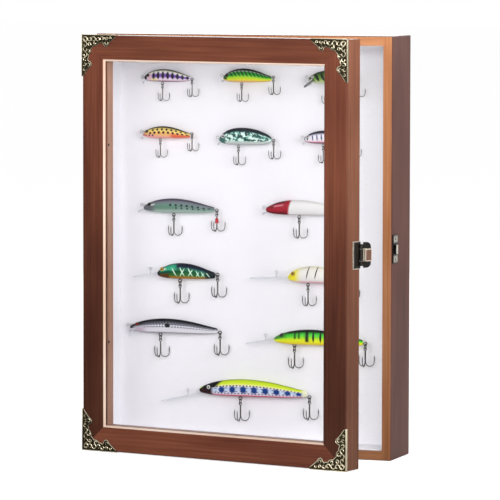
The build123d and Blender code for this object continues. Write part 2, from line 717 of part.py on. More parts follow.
# ---------------------------------------------------------------- lures
# nose and tail end the body's middle line; back and belly are its highest and lowest levels;
# lip is its root's place from the nose, its length and its slope in degrees
Lure = namedtuple("Lure", "name nose tail back belly lip belly_hook size")
LURES = [
    Lure("lure_01_violet_parr", (-119.5, 384.4), (-69.0, 383.2), 393.4, 380.2, (2.6, -2.6, 5.5, 42), -99.5, 1.0),
    Lure("lure_02_green_tiger", (-32.5, 387.0), (20.0, 386.6), 395.2, 380.6, (2.6, -2.6, 5.5, 42), -12.6, 1.0),
    Lure("lure_03_green_head", (60.0, 386.4), (111.0, 385.6), 394.2, 380.0, (5.2, -3.2, 12.0, 35), 79.5, 1.0),
    Lure("lure_04_gold_trout", (-121.0, 328.0), (-69.0, 327.0), 334.4, 321.4, (2.6, -3.6, 5.5, 42), -101.9, 1.0),
    Lure("lure_05_teal_camo", (-37.0, 323.2), (20.2, 321.4), 334.2, 316.2, (3.0, -3.4, 6.5, 42), -16.0, 1.05),
    Lure("lure_06_purple_bar", (55.4, 325.0), (107.0, 324.0), 332.8, 319.0, (2.6, -3.4, 5.5, 42), 76.0, 1.0),
    Lure("lure_07_grey_sardine", (-120.6, 251.6), (-42.0, 248.2), 259.7, 244.7, (2.6, -2.6, 9.5, 30), -87.0, 1.2),
    Lure("lure_08_red_head", (14.0, 252.4), (97.0, 250.6), 261.2, 245.4, (3.0, -3.0, 8.0, 35), 50.3, 1.2),
    Lure("lure_09_green_perch", (-105.0, 185.4), (-41.2, 181.6), 192.8, 176.4, (2.6, -3.4, 29.5, 10.5), -80.0, 1.3),
    Lure("lure_10_yellow_face", (38.4, 184.2), (104.0, 182.0), 193.6, 175.8, (3.0, -3.2, 44.5, 2.3), 60.0, 1.2),
    Lure("lure_11_silver_minnow", (-136.0, 126.2), (-38.4, 121.6), 134.5, 119.4, (8.4, -4.6, 11.5, 39), -101.8, 1.3),
    Lure("lure_12_lime_tiger", (23.2, 120.4), (119.0, 115.4), 128.2, 112.4, (2.8, -3.6, 34.0, 9.4), 45.5, 1.3),
    Lure("lure_13_blue_parr", (-58.6, 61.6), (59.4, 58.2), 74.3, 56.2, (4.0, -3.0, 47.5, 13), -13.4, 1.3),
]
# along the body: share of its length, share of the back's rise, share of the belly's drop
STATIONS = [
    (0.0, 0.14, 0.25),
    (0.04, 0.38, 0.55),
    (0.14, 0.70, 0.80),
    (0.38, 1.00, 1.00),
    (0.64, 0.82, 0.92),
    (0.86, 0.42, 0.70),
    (1.0, 0.22, 0.42),
]
THICKNESS = 0.64        # body thickness as a share of its height
LIP_T = 1.0
LIP_IN = 3.0            # how deep a lip is let into the head
LONG_LIP = 25.0         # lips longer than this are the deep-diving kind
EYE_STATION = (0.095, 0.55, 0.70)
EYE_SHARE = 0.12        # eye radius as a share of the body's height
EYE_SET = 1.0           # how deep the eyes are let in
EYE_OUT = 0.5           # how far they stand out
PIN_SHARES = (0.22, 0.70)
DISPLAY_PIN_R = 0.6
PIN_SET = 1.5           # the pins start this far behind the lure's middle plane
PIN_IN_BOARD = 8.0

# wire pieces, at size 1
WIRE = 0.4              # half the wire's thickness
LOOP_R = 1.3            # wire eye on a lure
POST_L = 4.2            # its post, let into the body
RING_R = 2.0            # split ring
HOOK_EYE_R = 1.1
SHANK_L = 10.2
BEND_R = 3.4
POINT_L = 3.6
BARB_L = 2.0
LINK_SLACK = 0.1


def level(lure, share, rise, drop):
    """A body's x, top and bottom at a share of its length."""
    x = lure.nose[0] + (lure.tail[0] - lure.nose[0]) * share
    line = lure.nose[1] + (lure.tail[1] - lure.nose[1]) * share
    line_at_peak = lure.nose[1] + (lure.tail[1] - lure.nose[1]) * STATIONS[3][0]
    return x, line + rise * (lure.back - line_at_peak), line - drop * (line_at_peak - lure.belly)


def lip_plane(lure):
    """Plane of the diving lip, its x running from the free end towards the head."""
    root_dx, root_dz, length, angle = lure.lip
    along = Vector(cos(radians(angle)), 0, sin(radians(angle)))
    root = Vector(lure.nose[0] + root_dx, LURE_Y, lure.nose[1] + root_dz)
    return Plane(origin=root - along * length, x_dir=along, z_dir=along.cross(Vector(0, 1, 0)))


def lip_blade(lure):
    """Flat blade with a round free end, narrower at the head."""
    length = lure.lip[2]
    end_r = min(6.0, 0.35 * length + 1.5)
    root_r = 0.5 * end_r
    with BuildPart() as blade:
        with BuildSketch(lip_plane(lure)):
            with Locations((end_r, 0)):
                Circle(end_r)
            with Locations((length - root_r, 0)):
                Circle(root_r)
            make_hull()
            with Locations((length, 0)):
                Rectangle(2 * LIP_IN, 2 * root_r)
        extrude(amount=LIP_T / 2, both=True)
    return blade.part


def wire_eye(slack):
    """Eye with its post pointing up, drawn facing the front; slack widens the post only."""
    with BuildPart() as eye:
        with BuildSketch(Plane.XZ):
            with Locations((0, LOOP_R + POST_L / 2)):
                Rectangle(2 * (WIRE + slack), POST_L + 2 * slack)
            if slack == 0:
                Circle(LOOP_R + WIRE)
                Circle(LOOP_R - WIRE, mode=Mode.SUBTRACT)
        extrude(amount=WIRE + slack, both=True)
    return eye.part


with BuildPart() as ring:
    with BuildSketch(Plane.YZ):
        Circle(RING_R + WIRE)
        Circle(RING_R - WIRE, mode=Mode.SUBTRACT)
    extrude(amount=WIRE, both=True)

with BuildPart() as prong:
    with BuildSketch(Plane.XZ):
        with BuildLine():
            far_x = WIRE + 2 * BEND_R
            Line((WIRE, -HOOK_EYE_R), (WIRE, -SHANK_L))
            ThreePointArc((WIRE, -SHANK_L), (WIRE + BEND_R, -SHANK_L - BEND_R), (far_x, -SHANK_L))
            Line((far_x, -SHANK_L), (far_x, -SHANK_L + POINT_L))
        trace(line_width=2 * WIRE)
        with BuildLine():
            tip_z = -SHANK_L + POINT_L
            Polyline((far_x - WIRE, tip_z), (far_x + WIRE, tip_z), (far_x, tip_z + BARB_L), close=True)
        make_face()
    extrude(amount=WIRE, both=True)

with BuildPart() as treble:
    with PolarLocations(0, 3, start_angle=-90):
        add(prong.part)
    with BuildSketch(Plane.XZ):
        Circle(HOOK_EYE_R + WIRE)
        Circle(HOOK_EYE_R - WIRE, mode=Mode.SUBTRACT)
    extrude(amount=WIRE, both=True)

eye_up = wire_eye(0)
eye_slot = wire_eye(HOLE_EXTRA)
UP_POST = (0, 0, 0)
LEFT_POST = (0, -90, 0)
RIGHT_POST = (0, 90, 0)
DOWN_POST = (0, 180, 0)


def wire_spots(lure):
    """Places of a lure's belly eye, tail eye and line tie."""
    s = lure.size
    share = (lure.belly_hook - lure.nose[0]) / (lure.tail[0] - lure.nose[0])
    x, top, belly_z = level(lure, share, 1.0, 1.0)
    belly_eye = Location((lure.belly_hook, LURE_Y, belly_z - (LOOP_R + WIRE) * s - 0.3), UP_POST)
    tail_eye = Location((lure.tail[0] + (LOOP_R + WIRE) * s + 0.3, LURE_Y, lure.tail[1] - 0.4), LEFT_POST)
    if lure.lip[2] < LONG_LIP:
        tie = Location((lure.nose[0] - LOOP_R - WIRE - 0.3, LURE_Y, lure.nose[1] + 0.2), RIGHT_POST)
    else:
        foot = lip_plane(lure).from_local_coords((0.64 * lure.lip[2], 0, 0))
        tie = Location((foot.X, LURE_Y, foot.Z + LOOP_R + POST_L), DOWN_POST)
    return belly_eye, tail_eye, tie


def link_drops(size):
    """How far the split ring and the hook's eye hang below the wire eye."""
    hole = (LOOP_R - WIRE) ** 2 - WIRE**2
    ring_hole = (RING_R - WIRE) ** 2 - WIRE**2
    hook_hole = (HOOK_EYE_R - WIRE) ** 2 - WIRE**2
    ring_drop = hole**0.5 + ring_hole**0.5 - LINK_SLACK
    hook_drop = ring_drop + ring_hole**0.5 + hook_hole**0.5 - LINK_SLACK
    return ring_drop * size, hook_drop * size


def eye_buttons(lure, slack):
    """Both eyes, or with some slack their sockets."""
    x, top, bottom = level(lure, *EYE_STATION)
    radius = EYE_SHARE * (lure.back - lure.belly) + slack
    inner_y = THICKNESS * (top - bottom) / 2 - EYE_SET - slack
    depth = EYE_SET + EYE_OUT + slack + (4 * EYE_OUT if slack else 0)
    with BuildPart() as buttons:
        for side in (-1, 1):
            centre = LURE_Y + side * (inner_y + depth / 2)
            with Locations(Location((x, centre, (top + bottom) / 2 + 0.8), (90, 0, 0))):
                Cylinder(radius, depth)
    return buttons.part


def pin_shafts(lure, slack):
    """The two display pins of a lure, or with some slack their holes."""
    start = LURE_Y + PIN_SET - slack
    end = BOARD_Y + PIN_IN_BOARD + slack
    with BuildPart() as shafts:
        for share in PIN_SHARES:
            x, top, bottom = level(lure, share, 0.85, 0.85)
            with Locations(Location((x, (start + end) / 2, (top + bottom) / 2), (90, 0, 0))):
                Cylinder(DISPLAY_PIN_R + slack, end - start)
    return shafts.part


def hook_at(piece, lure, spot, drop):
    """A wire piece at its lure's size, hung below an eye."""
    x, y, z = spot.position
    return piece.scale(lure.size).moved(Location((x, y, z - drop)))


for lure in LURES:
    belly_eye, tail_eye, tie = wire_spots(lure)
    sockets = eye_buttons(lure, HOLE_EXTRA)
    pin_holes = pin_shafts(lure, HOLE_EXTRA)
    lip_slot = lip_blade(lure)
    with BuildPart() as body:
        for share, rise, drop in STATIONS:
            x, top, bottom = level(lure, share, rise, drop)
            half = (top - bottom) / 2
            with BuildSketch(Plane(origin=(x, LURE_Y, bottom + half), x_dir=(0, 1, 0), z_dir=(1, 0, 0))):
                Ellipse(THICKNESS * half, half)
        loft()
        add(lip_slot, mode=Mode.SUBTRACT)
        add(sockets, mode=Mode.SUBTRACT)
        add(pin_holes, mode=Mode.SUBTRACT)
        for spot in (belly_eye, tail_eye):
            add(eye_slot.scale(lure.size).moved(spot), mode=Mode.SUBTRACT)
        if lure.lip[2] < LONG_LIP:
            add(eye_slot.moved(tie), mode=Mode.SUBTRACT)
    export(body, lure.name)


def lip_group(lures):
    blades = [lip_blade(lure) for lure in lures]
    with BuildPart() as group:
        for lure, blade in zip(lures, blades):
            add(blade)
            if lure.lip[2] >= LONG_LIP:
                add(eye_slot.moved(wire_spots(lure)[2]), mode=Mode.SUBTRACT)
    return group


export(lip_group([lure for lure in LURES if lure.lip[2] < LONG_LIP]), "short_lips")
export(lip_group([lure for lure in LURES if lure.lip[2] >= LONG_LIP]), "long_lips")


def group_of(pieces):
    with BuildPart() as group:
        for piece in pieces:
            add(piece)
    return group


export(group_of([eye_buttons(lure, 0) for lure in LURES]), "lure_eyes")
export(group_of([pin_shafts(lure, 0) for lure in LURES]), "display_pins")
export(group_of([eye_up.moved(wire_spots(lure)[2]) for lure in LURES]), "line_ties")

hangers, rings, belly_trebles, tail_trebles = [], [], [], []
for lure in LURES:
    belly_eye, tail_eye, tie = wire_spots(lure)
    ring_drop, hook_drop = link_drops(lure.size)
    for spot, trebles in ((belly_eye, belly_trebles), (tail_eye, tail_trebles)):
        hangers.append(eye_up.scale(lure.size).moved(spot))
        rings.append(hook_at(ring.part, lure, spot, ring_drop))
        trebles.append(hook_at(treble.part, lure, spot, hook_drop))
export(group_of(hangers), "hook_hangers")
export(group_of(rings), "split_rings")
export(group_of(belly_trebles), "belly_hooks")
export(group_of(tail_trebles), "tail_hooks")

# ---------------------------------------------------------------- white board that the pins go into
all_pin_holes = [pin_shafts(lure, HOLE_EXTRA) for lure in LURES]
with BuildPart() as pinning_board:
    with BuildSketch(front_plane(BOARD_Y)):
        with Locations((0, CASE_H / 2)):
            Rectangle(CASE_W - 2 * WALL - FIT_GAP, CASE_H - 2 * WALL - FIT_GAP)
    extrude(amount=-FOAM)
    for holes in all_pin_holes:
        add(holes, mode=Mode.SUBTRACT)
export(pinning_board, "pinning_board")

# ---------------------------------------------------------------- red dressing on one tail hook
DRESSED = LURES[6]
DRESSING_TOP_R = 1.4
DRESSING_END_R = 2.1
DRESSING_FROM = 2.4     # below the hook's eye, at size 1
DRESSING_L = 5.0
SHANK_REACH = 1.1       # half the hook shank's width, with its slack
dressed_x, dressed_y, dressed_z = wire_spots(DRESSED)[1].position
dressing_z = dressed_z - link_drops(DRESSED.size)[1] - DRESSING_FROM * DRESSED.size
with BuildPart() as hook_dressing:
    with BuildSketch(floor_plane(dressed_x, dressed_y, dressing_z)):
        Circle(DRESSING_TOP_R)
    with BuildSketch(floor_plane(dressed_x, dressed_y, dressing_z - DRESSING_L)):
        Circle(DRESSING_END_R)
    loft()
    with Locations((dressed_x, dressed_y, dressing_z - DRESSING_L / 2)):
        Cylinder(SHANK_REACH, 2 * DRESSING_L, mode=Mode.SUBTRACT)
export(hook_dressing, "hook_dressing")
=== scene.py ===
# %% [markdown]
# # A display case for fishing lures
# The real thing is a shallow wooden box with a glazed door, standing a little open, with an
# antique latch, scrolled metal corners, and crankbait lures pinned on a white board. The packed
# model already holds every piece at its real size. This lesson gives those pieces their finishes,
# and models again the few whose solids are too plain to be looked at: the corners, the painted
# lures, their eyes, and the wire of hooks and rings.

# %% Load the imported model
import bpy
import bmesh
import json
from math import atan2, cos, degrees, pi, radians, sin
from mathutils import Matrix, Vector


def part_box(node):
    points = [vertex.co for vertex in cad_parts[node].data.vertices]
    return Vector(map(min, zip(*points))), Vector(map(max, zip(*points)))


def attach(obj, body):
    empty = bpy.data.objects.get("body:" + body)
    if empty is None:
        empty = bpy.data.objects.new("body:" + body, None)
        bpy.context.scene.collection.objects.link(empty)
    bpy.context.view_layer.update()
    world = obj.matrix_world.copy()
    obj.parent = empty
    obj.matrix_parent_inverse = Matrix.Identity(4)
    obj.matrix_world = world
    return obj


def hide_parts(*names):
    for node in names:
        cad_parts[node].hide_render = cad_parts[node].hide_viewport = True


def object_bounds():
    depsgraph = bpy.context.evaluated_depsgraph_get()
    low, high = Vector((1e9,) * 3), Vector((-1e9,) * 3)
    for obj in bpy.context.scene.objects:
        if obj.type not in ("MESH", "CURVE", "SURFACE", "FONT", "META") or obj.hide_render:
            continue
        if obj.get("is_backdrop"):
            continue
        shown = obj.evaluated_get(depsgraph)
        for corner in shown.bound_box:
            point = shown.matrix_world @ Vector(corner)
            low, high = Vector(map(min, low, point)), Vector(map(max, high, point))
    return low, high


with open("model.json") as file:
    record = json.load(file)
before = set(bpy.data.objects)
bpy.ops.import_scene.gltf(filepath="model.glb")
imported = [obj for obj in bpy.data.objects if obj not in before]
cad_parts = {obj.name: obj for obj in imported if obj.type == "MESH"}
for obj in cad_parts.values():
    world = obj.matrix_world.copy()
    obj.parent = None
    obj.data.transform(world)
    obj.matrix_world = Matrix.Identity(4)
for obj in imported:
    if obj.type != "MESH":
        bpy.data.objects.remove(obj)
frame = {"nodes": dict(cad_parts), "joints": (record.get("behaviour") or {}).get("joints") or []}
nodes = frame["nodes"]
cad_low, cad_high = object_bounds()
MM = 0.001
print("pieces in the model:", len(nodes))

# %% [markdown]
# ## What the model tells us
# The door stands at an angle, so everything on it is easier to build along its own directions.
# The hinge line is the first joint's place, and the door's angle is read from the glass pane:
# its nearest and farthest corners from the hinge give the direction of the door.

# %% The door's own directions
door_joint = next(joint for joint in frame["joints"] if joint["child"] == "door")
hinge = Vector(door_joint["pos_m"])
hinge.z = 0
DOOR_OPEN = radians(-door_joint["range_deg"][0])
across = Vector((cos(DOOR_OPEN), -sin(DOOR_OPEN), 0))
forward = Vector((-sin(DOOR_OPEN), -cos(DOOR_OPEN), 0))
up = Vector((0, 0, 1))
DOOR_FRAME = Matrix((across, up, forward)).transposed().to_4x4()
DOOR_FRAME.translation = hinge


def door_extent(name):
    """Lowest and highest across, up and forward of a door piece, from the hinge line."""
    inverse = DOOR_FRAME.inverted()
    points = [inverse @ vertex.co for vertex in nodes[name].data.vertices]
    return [Vector(pick(point[axis] for point in points) for axis in range(3)) for pick in (min, max)]


glass_low, glass_high = door_extent("glass_pane")
stile_low, stile_high = door_extent("door_right_stile")
left_low = door_extent("door_left_stile")[0]
print("door open by", round(degrees(DOOR_OPEN), 1), "degrees")

# %% [markdown]
# ## Camera
# The case was photographed from far away with a long lens, a little from the right and a little
# from above, so its verticals stay almost parallel. The camera's place was found by matching the
# corners of the case and door, and a long focal length on a 36 mm sensor gives that flat look.

# %% Camera
SENSOR_MM, LENS_MM = 36.0, 293.8
CAMERA_AT = (1.396, -3.950, 0.527)      # metres from the middle of the case's foot
SIGHT = Vector((-0.3328, 0.9399, -0.0759))
ROLL = 0.0017                           # radians about the line of sight
FARTHEST = 60.0
camera_data = bpy.data.cameras.new("product_camera")
camera_data.sensor_width = SENSOR_MM
camera_data.lens = LENS_MM
camera_data.clip_end = FARTHEST
camera = bpy.data.objects.new("product_camera", camera_data)
camera.location = CAMERA_AT
aimed = SIGHT.to_track_quat("-Z", "Y").to_matrix()
camera.rotation_euler = (aimed @ Matrix.Rotation(ROLL, 3, "Z")).to_euler()
bpy.context.scene.collection.objects.link(camera)
bpy.context.scene.camera = camera
bpy.context.scene.view_settings.view_transform = "Standard"
print("camera", round(camera.location.length, 2), "m from the case")

# %% [markdown]
# ## One helper for material nodes
# Shader graphs are long to write by hand. One small function adds a node, sets its properties,
# and fills or links its inputs, so a material reads as a list of what it is made of. Where an
# input is given a whole node, it is linked to the node's own output: the first one in use.

# %% Node and colour helpers


def fill(tree, made, inputs):
    """Fills a node's inputs. Each is given a value, or a socket or node to link."""
    for name, value in inputs.items():
        if isinstance(value, bpy.types.Node):
            value = next(socket for socket in value.outputs if socket.enabled)
        if isinstance(value, bpy.types.NodeSocket):
            tree.links.new(value, made.inputs[name])
        else:
            made.inputs[name].default_value = value


def node(tree, kind, inputs=None, **settings):
    """Adds a shader node, with its properties and its inputs."""
    made = tree.nodes.new("ShaderNode" + kind)
    for name, value in settings.items():
        setattr(made, name, value)
    fill(tree, made, inputs or {})
    return made


def linear(hex_colour):
    """An sRGB hex colour as the linear values that a shader works with."""
    channels = [int(hex_colour[i : i + 2], 16) / 255 for i in (1, 3, 5)]
    return tuple(c / 12.92 if c <= 0.04045 else ((c + 0.055) / 1.055) ** 2.4 for c in channels) + (1.0,)


def new_material(name):
    """An empty material with one Principled shader, joined to its output."""
    material = bpy.data.materials.new(name)
    material.use_nodes = True
    tree = material.node_tree
    tree.nodes.clear()
    shader = node(tree, "BsdfPrincipled")
    node(tree, "OutputMaterial", {"Surface": shader})
    return material, tree, shader


def set_ramp(ramp, stops):
    """Colour stops from low to high, as (position, hex colour)."""
    while len(ramp.color_ramp.elements) < len(stops):
        ramp.color_ramp.elements.new(0.5)
    for element, (position, colour) in zip(ramp.color_ramp.elements, stops):
        element.position = position
        element.color = linear(colour)


def dress(material, *names):
    """Gives CAD nodes a material in place of the plain one they came with."""
    for name in names:
        slots = nodes[name].material_slots
        if slots:
            for slot in slots:
                slot.material = material
        else:
            nodes[name].data.materials.append(material)


print("mid grey, linear:", round(linear("#808080")[0], 3))

# %% [markdown]
# ## Floor
# The product shot has a pure white ground. The floor is a plain pale sheet of paper: rays from
# the camera see it lifted to white, and everything else sees its real, softer level, so it still
# takes the case's shadow. The door's glass looks down at the floor in front of it, and a white
# floor there would lay a grey veil over the dark lures. A photographer puts a black card in that
# place. Here the floor turns dark in that direction, for mirrored rays. Blender counts rays bent
# by glass with them, so the card also shows in a view that looks out at it through the pane.

# %% Floor
FLOOR_HALF = 20.0
FLOOR_LIFT = 0.68                    # added for the camera, so that the ground reads as white
MIRRORED = (-0.73, -0.68, 0)         # where the glass looks to, as seen from the camera
FLAG_FROM, FLAG_TO = 2.2, 4.6        # metres from the case, between which the card turns paler
FLAG_NEAR, FLAG_FAR = 0.90, 0.70     # how much of the floor it hides, nearer and farther
FLAG_SIDE, FLAG_MIDDLE = 0.78, 0.92  # cosines of the angle off that direction, where it fades
floor_mesh = bmesh.new()
bmesh.ops.create_grid(floor_mesh, x_segments=1, y_segments=1, size=FLOOR_HALF)
floor_data = bpy.data.meshes.new("floor")
floor_mesh.to_mesh(floor_data)
floor_mesh.free()
floor = bpy.data.objects.new("floor", floor_data)
bpy.context.scene.collection.objects.link(floor)
floor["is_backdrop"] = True

floor_material, tree, shader = new_material("white_studio_floor")
fill(tree, shader, {"Base Color": linear("#E4E4E4"), "Roughness": 0.9, "Specular IOR Level": 0.0})
seen = node(tree, "LightPath")
either = node(
    tree,
    "Math",
    {0: seen.outputs["Is Camera Ray"], 1: seen.outputs["Is Transmission Ray"]},
    operation="MAXIMUM",
)
lift = node(tree, "Math", {0: either, 1: FLOOR_LIFT}, operation="MULTIPLY")
glow = node(tree, "Emission", {"Strength": lift})
both = node(tree, "AddShader", {0: shader, 1: glow})

where = node(tree, "TexCoord").outputs["Object"]
away = node(tree, "VectorMath", {0: where, 1: MIRRORED}, operation="DOT_PRODUCT")
distance = node(tree, "VectorMath", {0: where}, operation="LENGTH")
bearing = node(tree, "Math", {0: away, 1: distance}, operation="DIVIDE")
ahead = node(tree, "MapRange", {"Value": bearing, "From Min": FLAG_SIDE, "From Max": FLAG_MIDDLE})
flagged = node(
    tree,
    "MapRange",
    {"Value": away, "From Min": FLAG_FROM, "From Max": FLAG_TO, "To Min": FLAG_NEAR, "To Max": FLAG_FAR},
)
flagged = node(tree, "Math", {0: flagged, 1: ahead}, operation="MULTIPLY")
flagged = node(tree, "Math", {0: flagged, 1: seen.outputs["Is Glossy Ray"]}, operation="MULTIPLY")
black = node(tree, "Emission", {"Strength": 0.0})
mirrored = node(tree, "MixShader", {0: flagged, 1: both, 2: black})
fill(tree, tree.nodes["Material Output"], {"Surface": mirrored})
floor_data.materials.append(floor_material)
print("floor", 2 * FLOOR_HALF, "m wide")

# %% [markdown]
# ## World and lamps
# The world is a soft white tent that looks fully white only to the camera, in reflections and
# through the glass. What it sheds on the case is softer, and more comes from the horizon than
# from overhead, because the case's top board shades the white board behind it. Four large
# softboxes do the rest: two in front, low enough to reach the board inside the case, one at the
# right for the side of door and case, and one behind for the back panel. All of them are area
# lamps, since a large lamp gives a soft edge to every shadow.

# %% World
WORLD_LEVEL = 0.70      # of the tent at the horizon
WORLD_TOP = 0.25        # and overhead
world = bpy.data.worlds.new("white_tent")
bpy.context.scene.world = world
world.use_nodes = True
tree = world.node_tree
tree.nodes.clear()
seen = node(tree, "LightPath")
direct = seen.outputs["Is Camera Ray"]
for kind in ("Is Glossy Ray", "Is Transmission Ray"):
    direct = node(tree, "Math", {0: direct, 1: seen.outputs[kind]}, operation="MAXIMUM")
heading = node(tree, "TexCoord").outputs["Generated"]
skyward = node(tree, "SeparateXYZ", {"Vector": heading}).outputs["Z"]
soft = node(tree, "MapRange", {"Value": skyward, "To Min": WORLD_LEVEL, "To Max": WORLD_TOP})
level = node(tree, "MapRange", {"Value": direct, "To Min": soft, "To Max": 1.0})
tent = node(tree, "Background", {"Color": (1, 1, 1, 1), "Strength": level})
node(tree, "OutputWorld", {"Surface": tent})
print("world level", WORLD_LEVEL)

# %% Softboxes
# name, place, what it is aimed at, width, height and power in watts
SOFTBOXES = [
    ("front_softbox", (0.86, -1.6, 0.64), (0, 0, 0.33), 1.0, 0.8, 11.5),
    ("left_softbox", (-0.50, -1.7, 0.62), (0, 0, 0.33), 0.9, 0.8, 9.5),
    ("right_softbox", (1.3, -0.9, 0.60), (0, 0, 0.28), 0.8, 0.8, 13),
    ("back_softbox", (-0.9, 1.9, 0.8), (0, 0, 0.2), 1.0, 1.0, 7),
]
for name, place, target, wide, tall, power in SOFTBOXES:
    lamp = bpy.data.lights.new(name, "AREA")
    lamp.shape = "RECTANGLE"
    lamp.size = wide
    lamp.size_y = tall
    lamp.energy = power
    holder = bpy.data.objects.new(name, lamp)
    holder.location = place
    sight = Vector(target) - Vector(place)
    holder.rotation_euler = sight.to_track_quat("-Z", "Y").to_euler()
    bpy.context.scene.collection.objects.link(holder)
print("softboxes:", len(SOFTBOXES))

# %% [markdown]
# ## Stained wood
# The case is solid softwood, stained a dark reddish brown and varnished to a low satin sheen. Stain
# sinks into the early wood, so the grain shows as long soft streaks, a few millimetres wide and several
# centimetres long. The colour is also painted darker towards the foot and lighter towards the top, as
# painted shade and painted light. Each board's streaks run along it: the pattern's coordinates are
# turned to the board and squeezed across the grain. The varnish is a thin clear coat that hardly shows
# from straight in front, and shines white where it is seen at a low angle, along the tops and the
# rounded edges. The window's rounded edge is painted pale, as a painted highlight.

# %% Wood material
GRAIN_MM = 2.2          # width of a streak
STREAK_MM = 120.0       # its length
MOTTLE_MM = 38.0        # broad uneven uptake of the stain
TAKE_UP = (0.34, 0.50, 0.66)     # where the stain's three colours lie in the grain's noise
PAINTED_SHADE_CURVE = 1.5         # how fast the painted shade and painted light change, faster towards the top
CASE_TOP = cad_high[2]


def wood_colour(tree, amount, height, colours, shade_by_height):
    """Colour of the stain for how much of it the grain took, with painted shade towards the foot and
    painted light towards the top.
    """
    colour = node(tree, "ValToRGB", {"Fac": amount})
    set_ramp(colour, list(zip(TAKE_UP, colours)))
    share = node(tree, "MapRange", {"Value": height, "From Max": CASE_TOP})
    curved = node(tree, "Math", {0: share, 1: PAINTED_SHADE_CURVE}, operation="POWER")
    painted_shade = node(tree, "MapRange", {"Value": curved, "To Min": shade_by_height[0], "To Max": shade_by_height[1]})
    return node(tree, "VectorMath", {0: colour, "Scale": painted_shade}, operation="SCALE")


print("grain streaks", GRAIN_MM, "by", STREAK_MM, "mm")

# %% Varnished boards


def facing(tree, direction, start, full):
    """How far a face looks in a direction, from 0 at one cosine to 1 at another."""
    normal = node(tree, "NewGeometry").outputs["True Normal"]
    turned_to = node(tree, "VectorMath", {0: normal, 1: direction}, operation="DOT_PRODUCT")
    return node(tree, "MapRange", {"Value": turned_to, "From Min": start, "From Max": full})


def stained_wood(name, turn, along, colours, shade_by_height=(0.8, 1.0), seed=0.0, edges=None):
    """Satin-varnished wood. along is the board's axis once the pattern is turned about Z;
    shade_by_height is the colour's strength at foot and head, as painted shade and painted light; edges
    are (colours, shade_by_height, mask) of the faces that differ, where mask picks them."""
    material, tree, shader = new_material(name)
    where = node(tree, "TexCoord").outputs["Object"]
    height = node(tree, "SeparateXYZ", {"Vector": where}).outputs["Z"]
    turned = node(
        tree, "Mapping", {"Vector": where, "Rotation": (0, 0, turn), "Location": (seed, seed, seed)}
    )
    squeeze = [1 / (GRAIN_MM * MM)] * 3
    squeeze[along] = 1 / (STREAK_MM * MM)
    broad = [1 / (MOTTLE_MM * MM)] * 3
    broad[along] = 1 / (4 * MOTTLE_MM * MM)
    streaks = node(tree, "VectorMath", {0: turned, 1: squeeze}, operation="MULTIPLY")
    grain = node(
        tree,
        "TexNoise",
        {"Vector": streaks, "Scale": 1.0, "Detail": 4.0, "Roughness": 0.6, "Distortion": 0.2},
    )
    patches = node(tree, "VectorMath", {0: turned, 1: broad}, operation="MULTIPLY")
    mottle = node(
        tree, "TexNoise", {"Vector": patches, "Scale": 1.0, "Detail": 2.0, "Roughness": 0.5}
    )
    amount = node(tree, "Mix", {"Factor": 0.5, "A": grain, "B": mottle})
    colour = wood_colour(tree, amount, height, colours, shade_by_height)
    if edges:
        edge_colours, edge_shade_by_height, mask = edges
        lighter = wood_colour(tree, amount, height, edge_colours, edge_shade_by_height)
        mixed = {"Factor": mask(tree, where), "A": colour, "B": lighter}
        colour = node(tree, "Mix", mixed, data_type="RGBA")
    bump = node(tree, "Bump", {"Strength": 0.10, "Distance": 0.0003, "Height": grain})
    gloss = node(tree, "MapRange", {"Value": grain, "To Min": 0.37, "To Max": 0.52})
    fill(tree, shader, {
        "Base Color": colour,
        "Roughness": gloss,
        "Normal": bump,
        "Specular IOR Level": 0.08,
        "Coat Weight": 0.4,
        "Coat Roughness": 0.16,
        "Coat IOR": 1.18,
    })
    return material


print("mottle", MOTTLE_MM, "mm across the grain")

# %% [markdown]
# ### The door's four members
# The stiles carry more painted shade at the foot and more painted light at the head than the rails. The
# window's rounded edge looks half forwards and half into the window, which picks it out for a pale
# painted highlight, and the right stile's outer side is painted lighter, as painted light on the side
# that faces right.

# %% Stiles and rails
DOOR_STAIN = ("#51291E", "#653727", "#7B4632")
# the door's right side is painted lighter, as painted light on the side that faces right
DOOR_SIDE_PAINTED_LIGHT = ("#6E4230", "#83523D", "#98654D")
# pale colour of the window's rounded edge: a painted highlight
PAINTED_EDGE_HIGHLIGHT = ("#D9B096", "#EACDB8", "#F4E0D2")
# strengths of the colour at foot and head: painted shade at the foot, painted light at the head
STILE_SHADE_BY_HEIGHT, RAIL_SHADE_BY_HEIGHT = (0.36, 1.40), (0.95, 1.12)
INWARD = {
    "door_left_stile": across,
    "door_right_stile": -across,
    "door_top_rail": -up,
    "door_bottom_rail": up,
}
STRAIGHT = (0.90, 0.97)     # cosines between which a face counts as looking straight that way


def painted_highlight_edge(inward):
    """Picks the window's rounded edge for its painted highlight: faces that look half forwards and half
    into the window.
    """
    between_them = (forward + inward).normalized()

    def mask(tree, where):
        return facing(tree, between_them, cos(radians(33)), cos(radians(24)))

    return mask


def lit_outer_side(tree, where):
    """Picks the door's right side, which is painted lighter as painted light on the side that faces
    right.
    """
    return facing(tree, across, *STRAIGHT)


for index, (name, inward) in enumerate(INWARD.items()):
    along, shade_by_height = (2, STILE_SHADE_BY_HEIGHT) if "stile" in name else (0, RAIL_SHADE_BY_HEIGHT)
    edges = (PAINTED_EDGE_HIGHLIGHT, (0.8, 1.0), painted_highlight_edge(inward))
    if name == "door_right_stile":
        edges = (DOOR_SIDE_PAINTED_LIGHT, (0.5, 1.1), lit_outer_side)
    seed = 0.31 + 1.4 * index
    dress(stained_wood("stained_" + name, DOOR_OPEN, along, DOOR_STAIN, shade_by_height, seed, edges), name)
print("door stain", DOOR_STAIN)

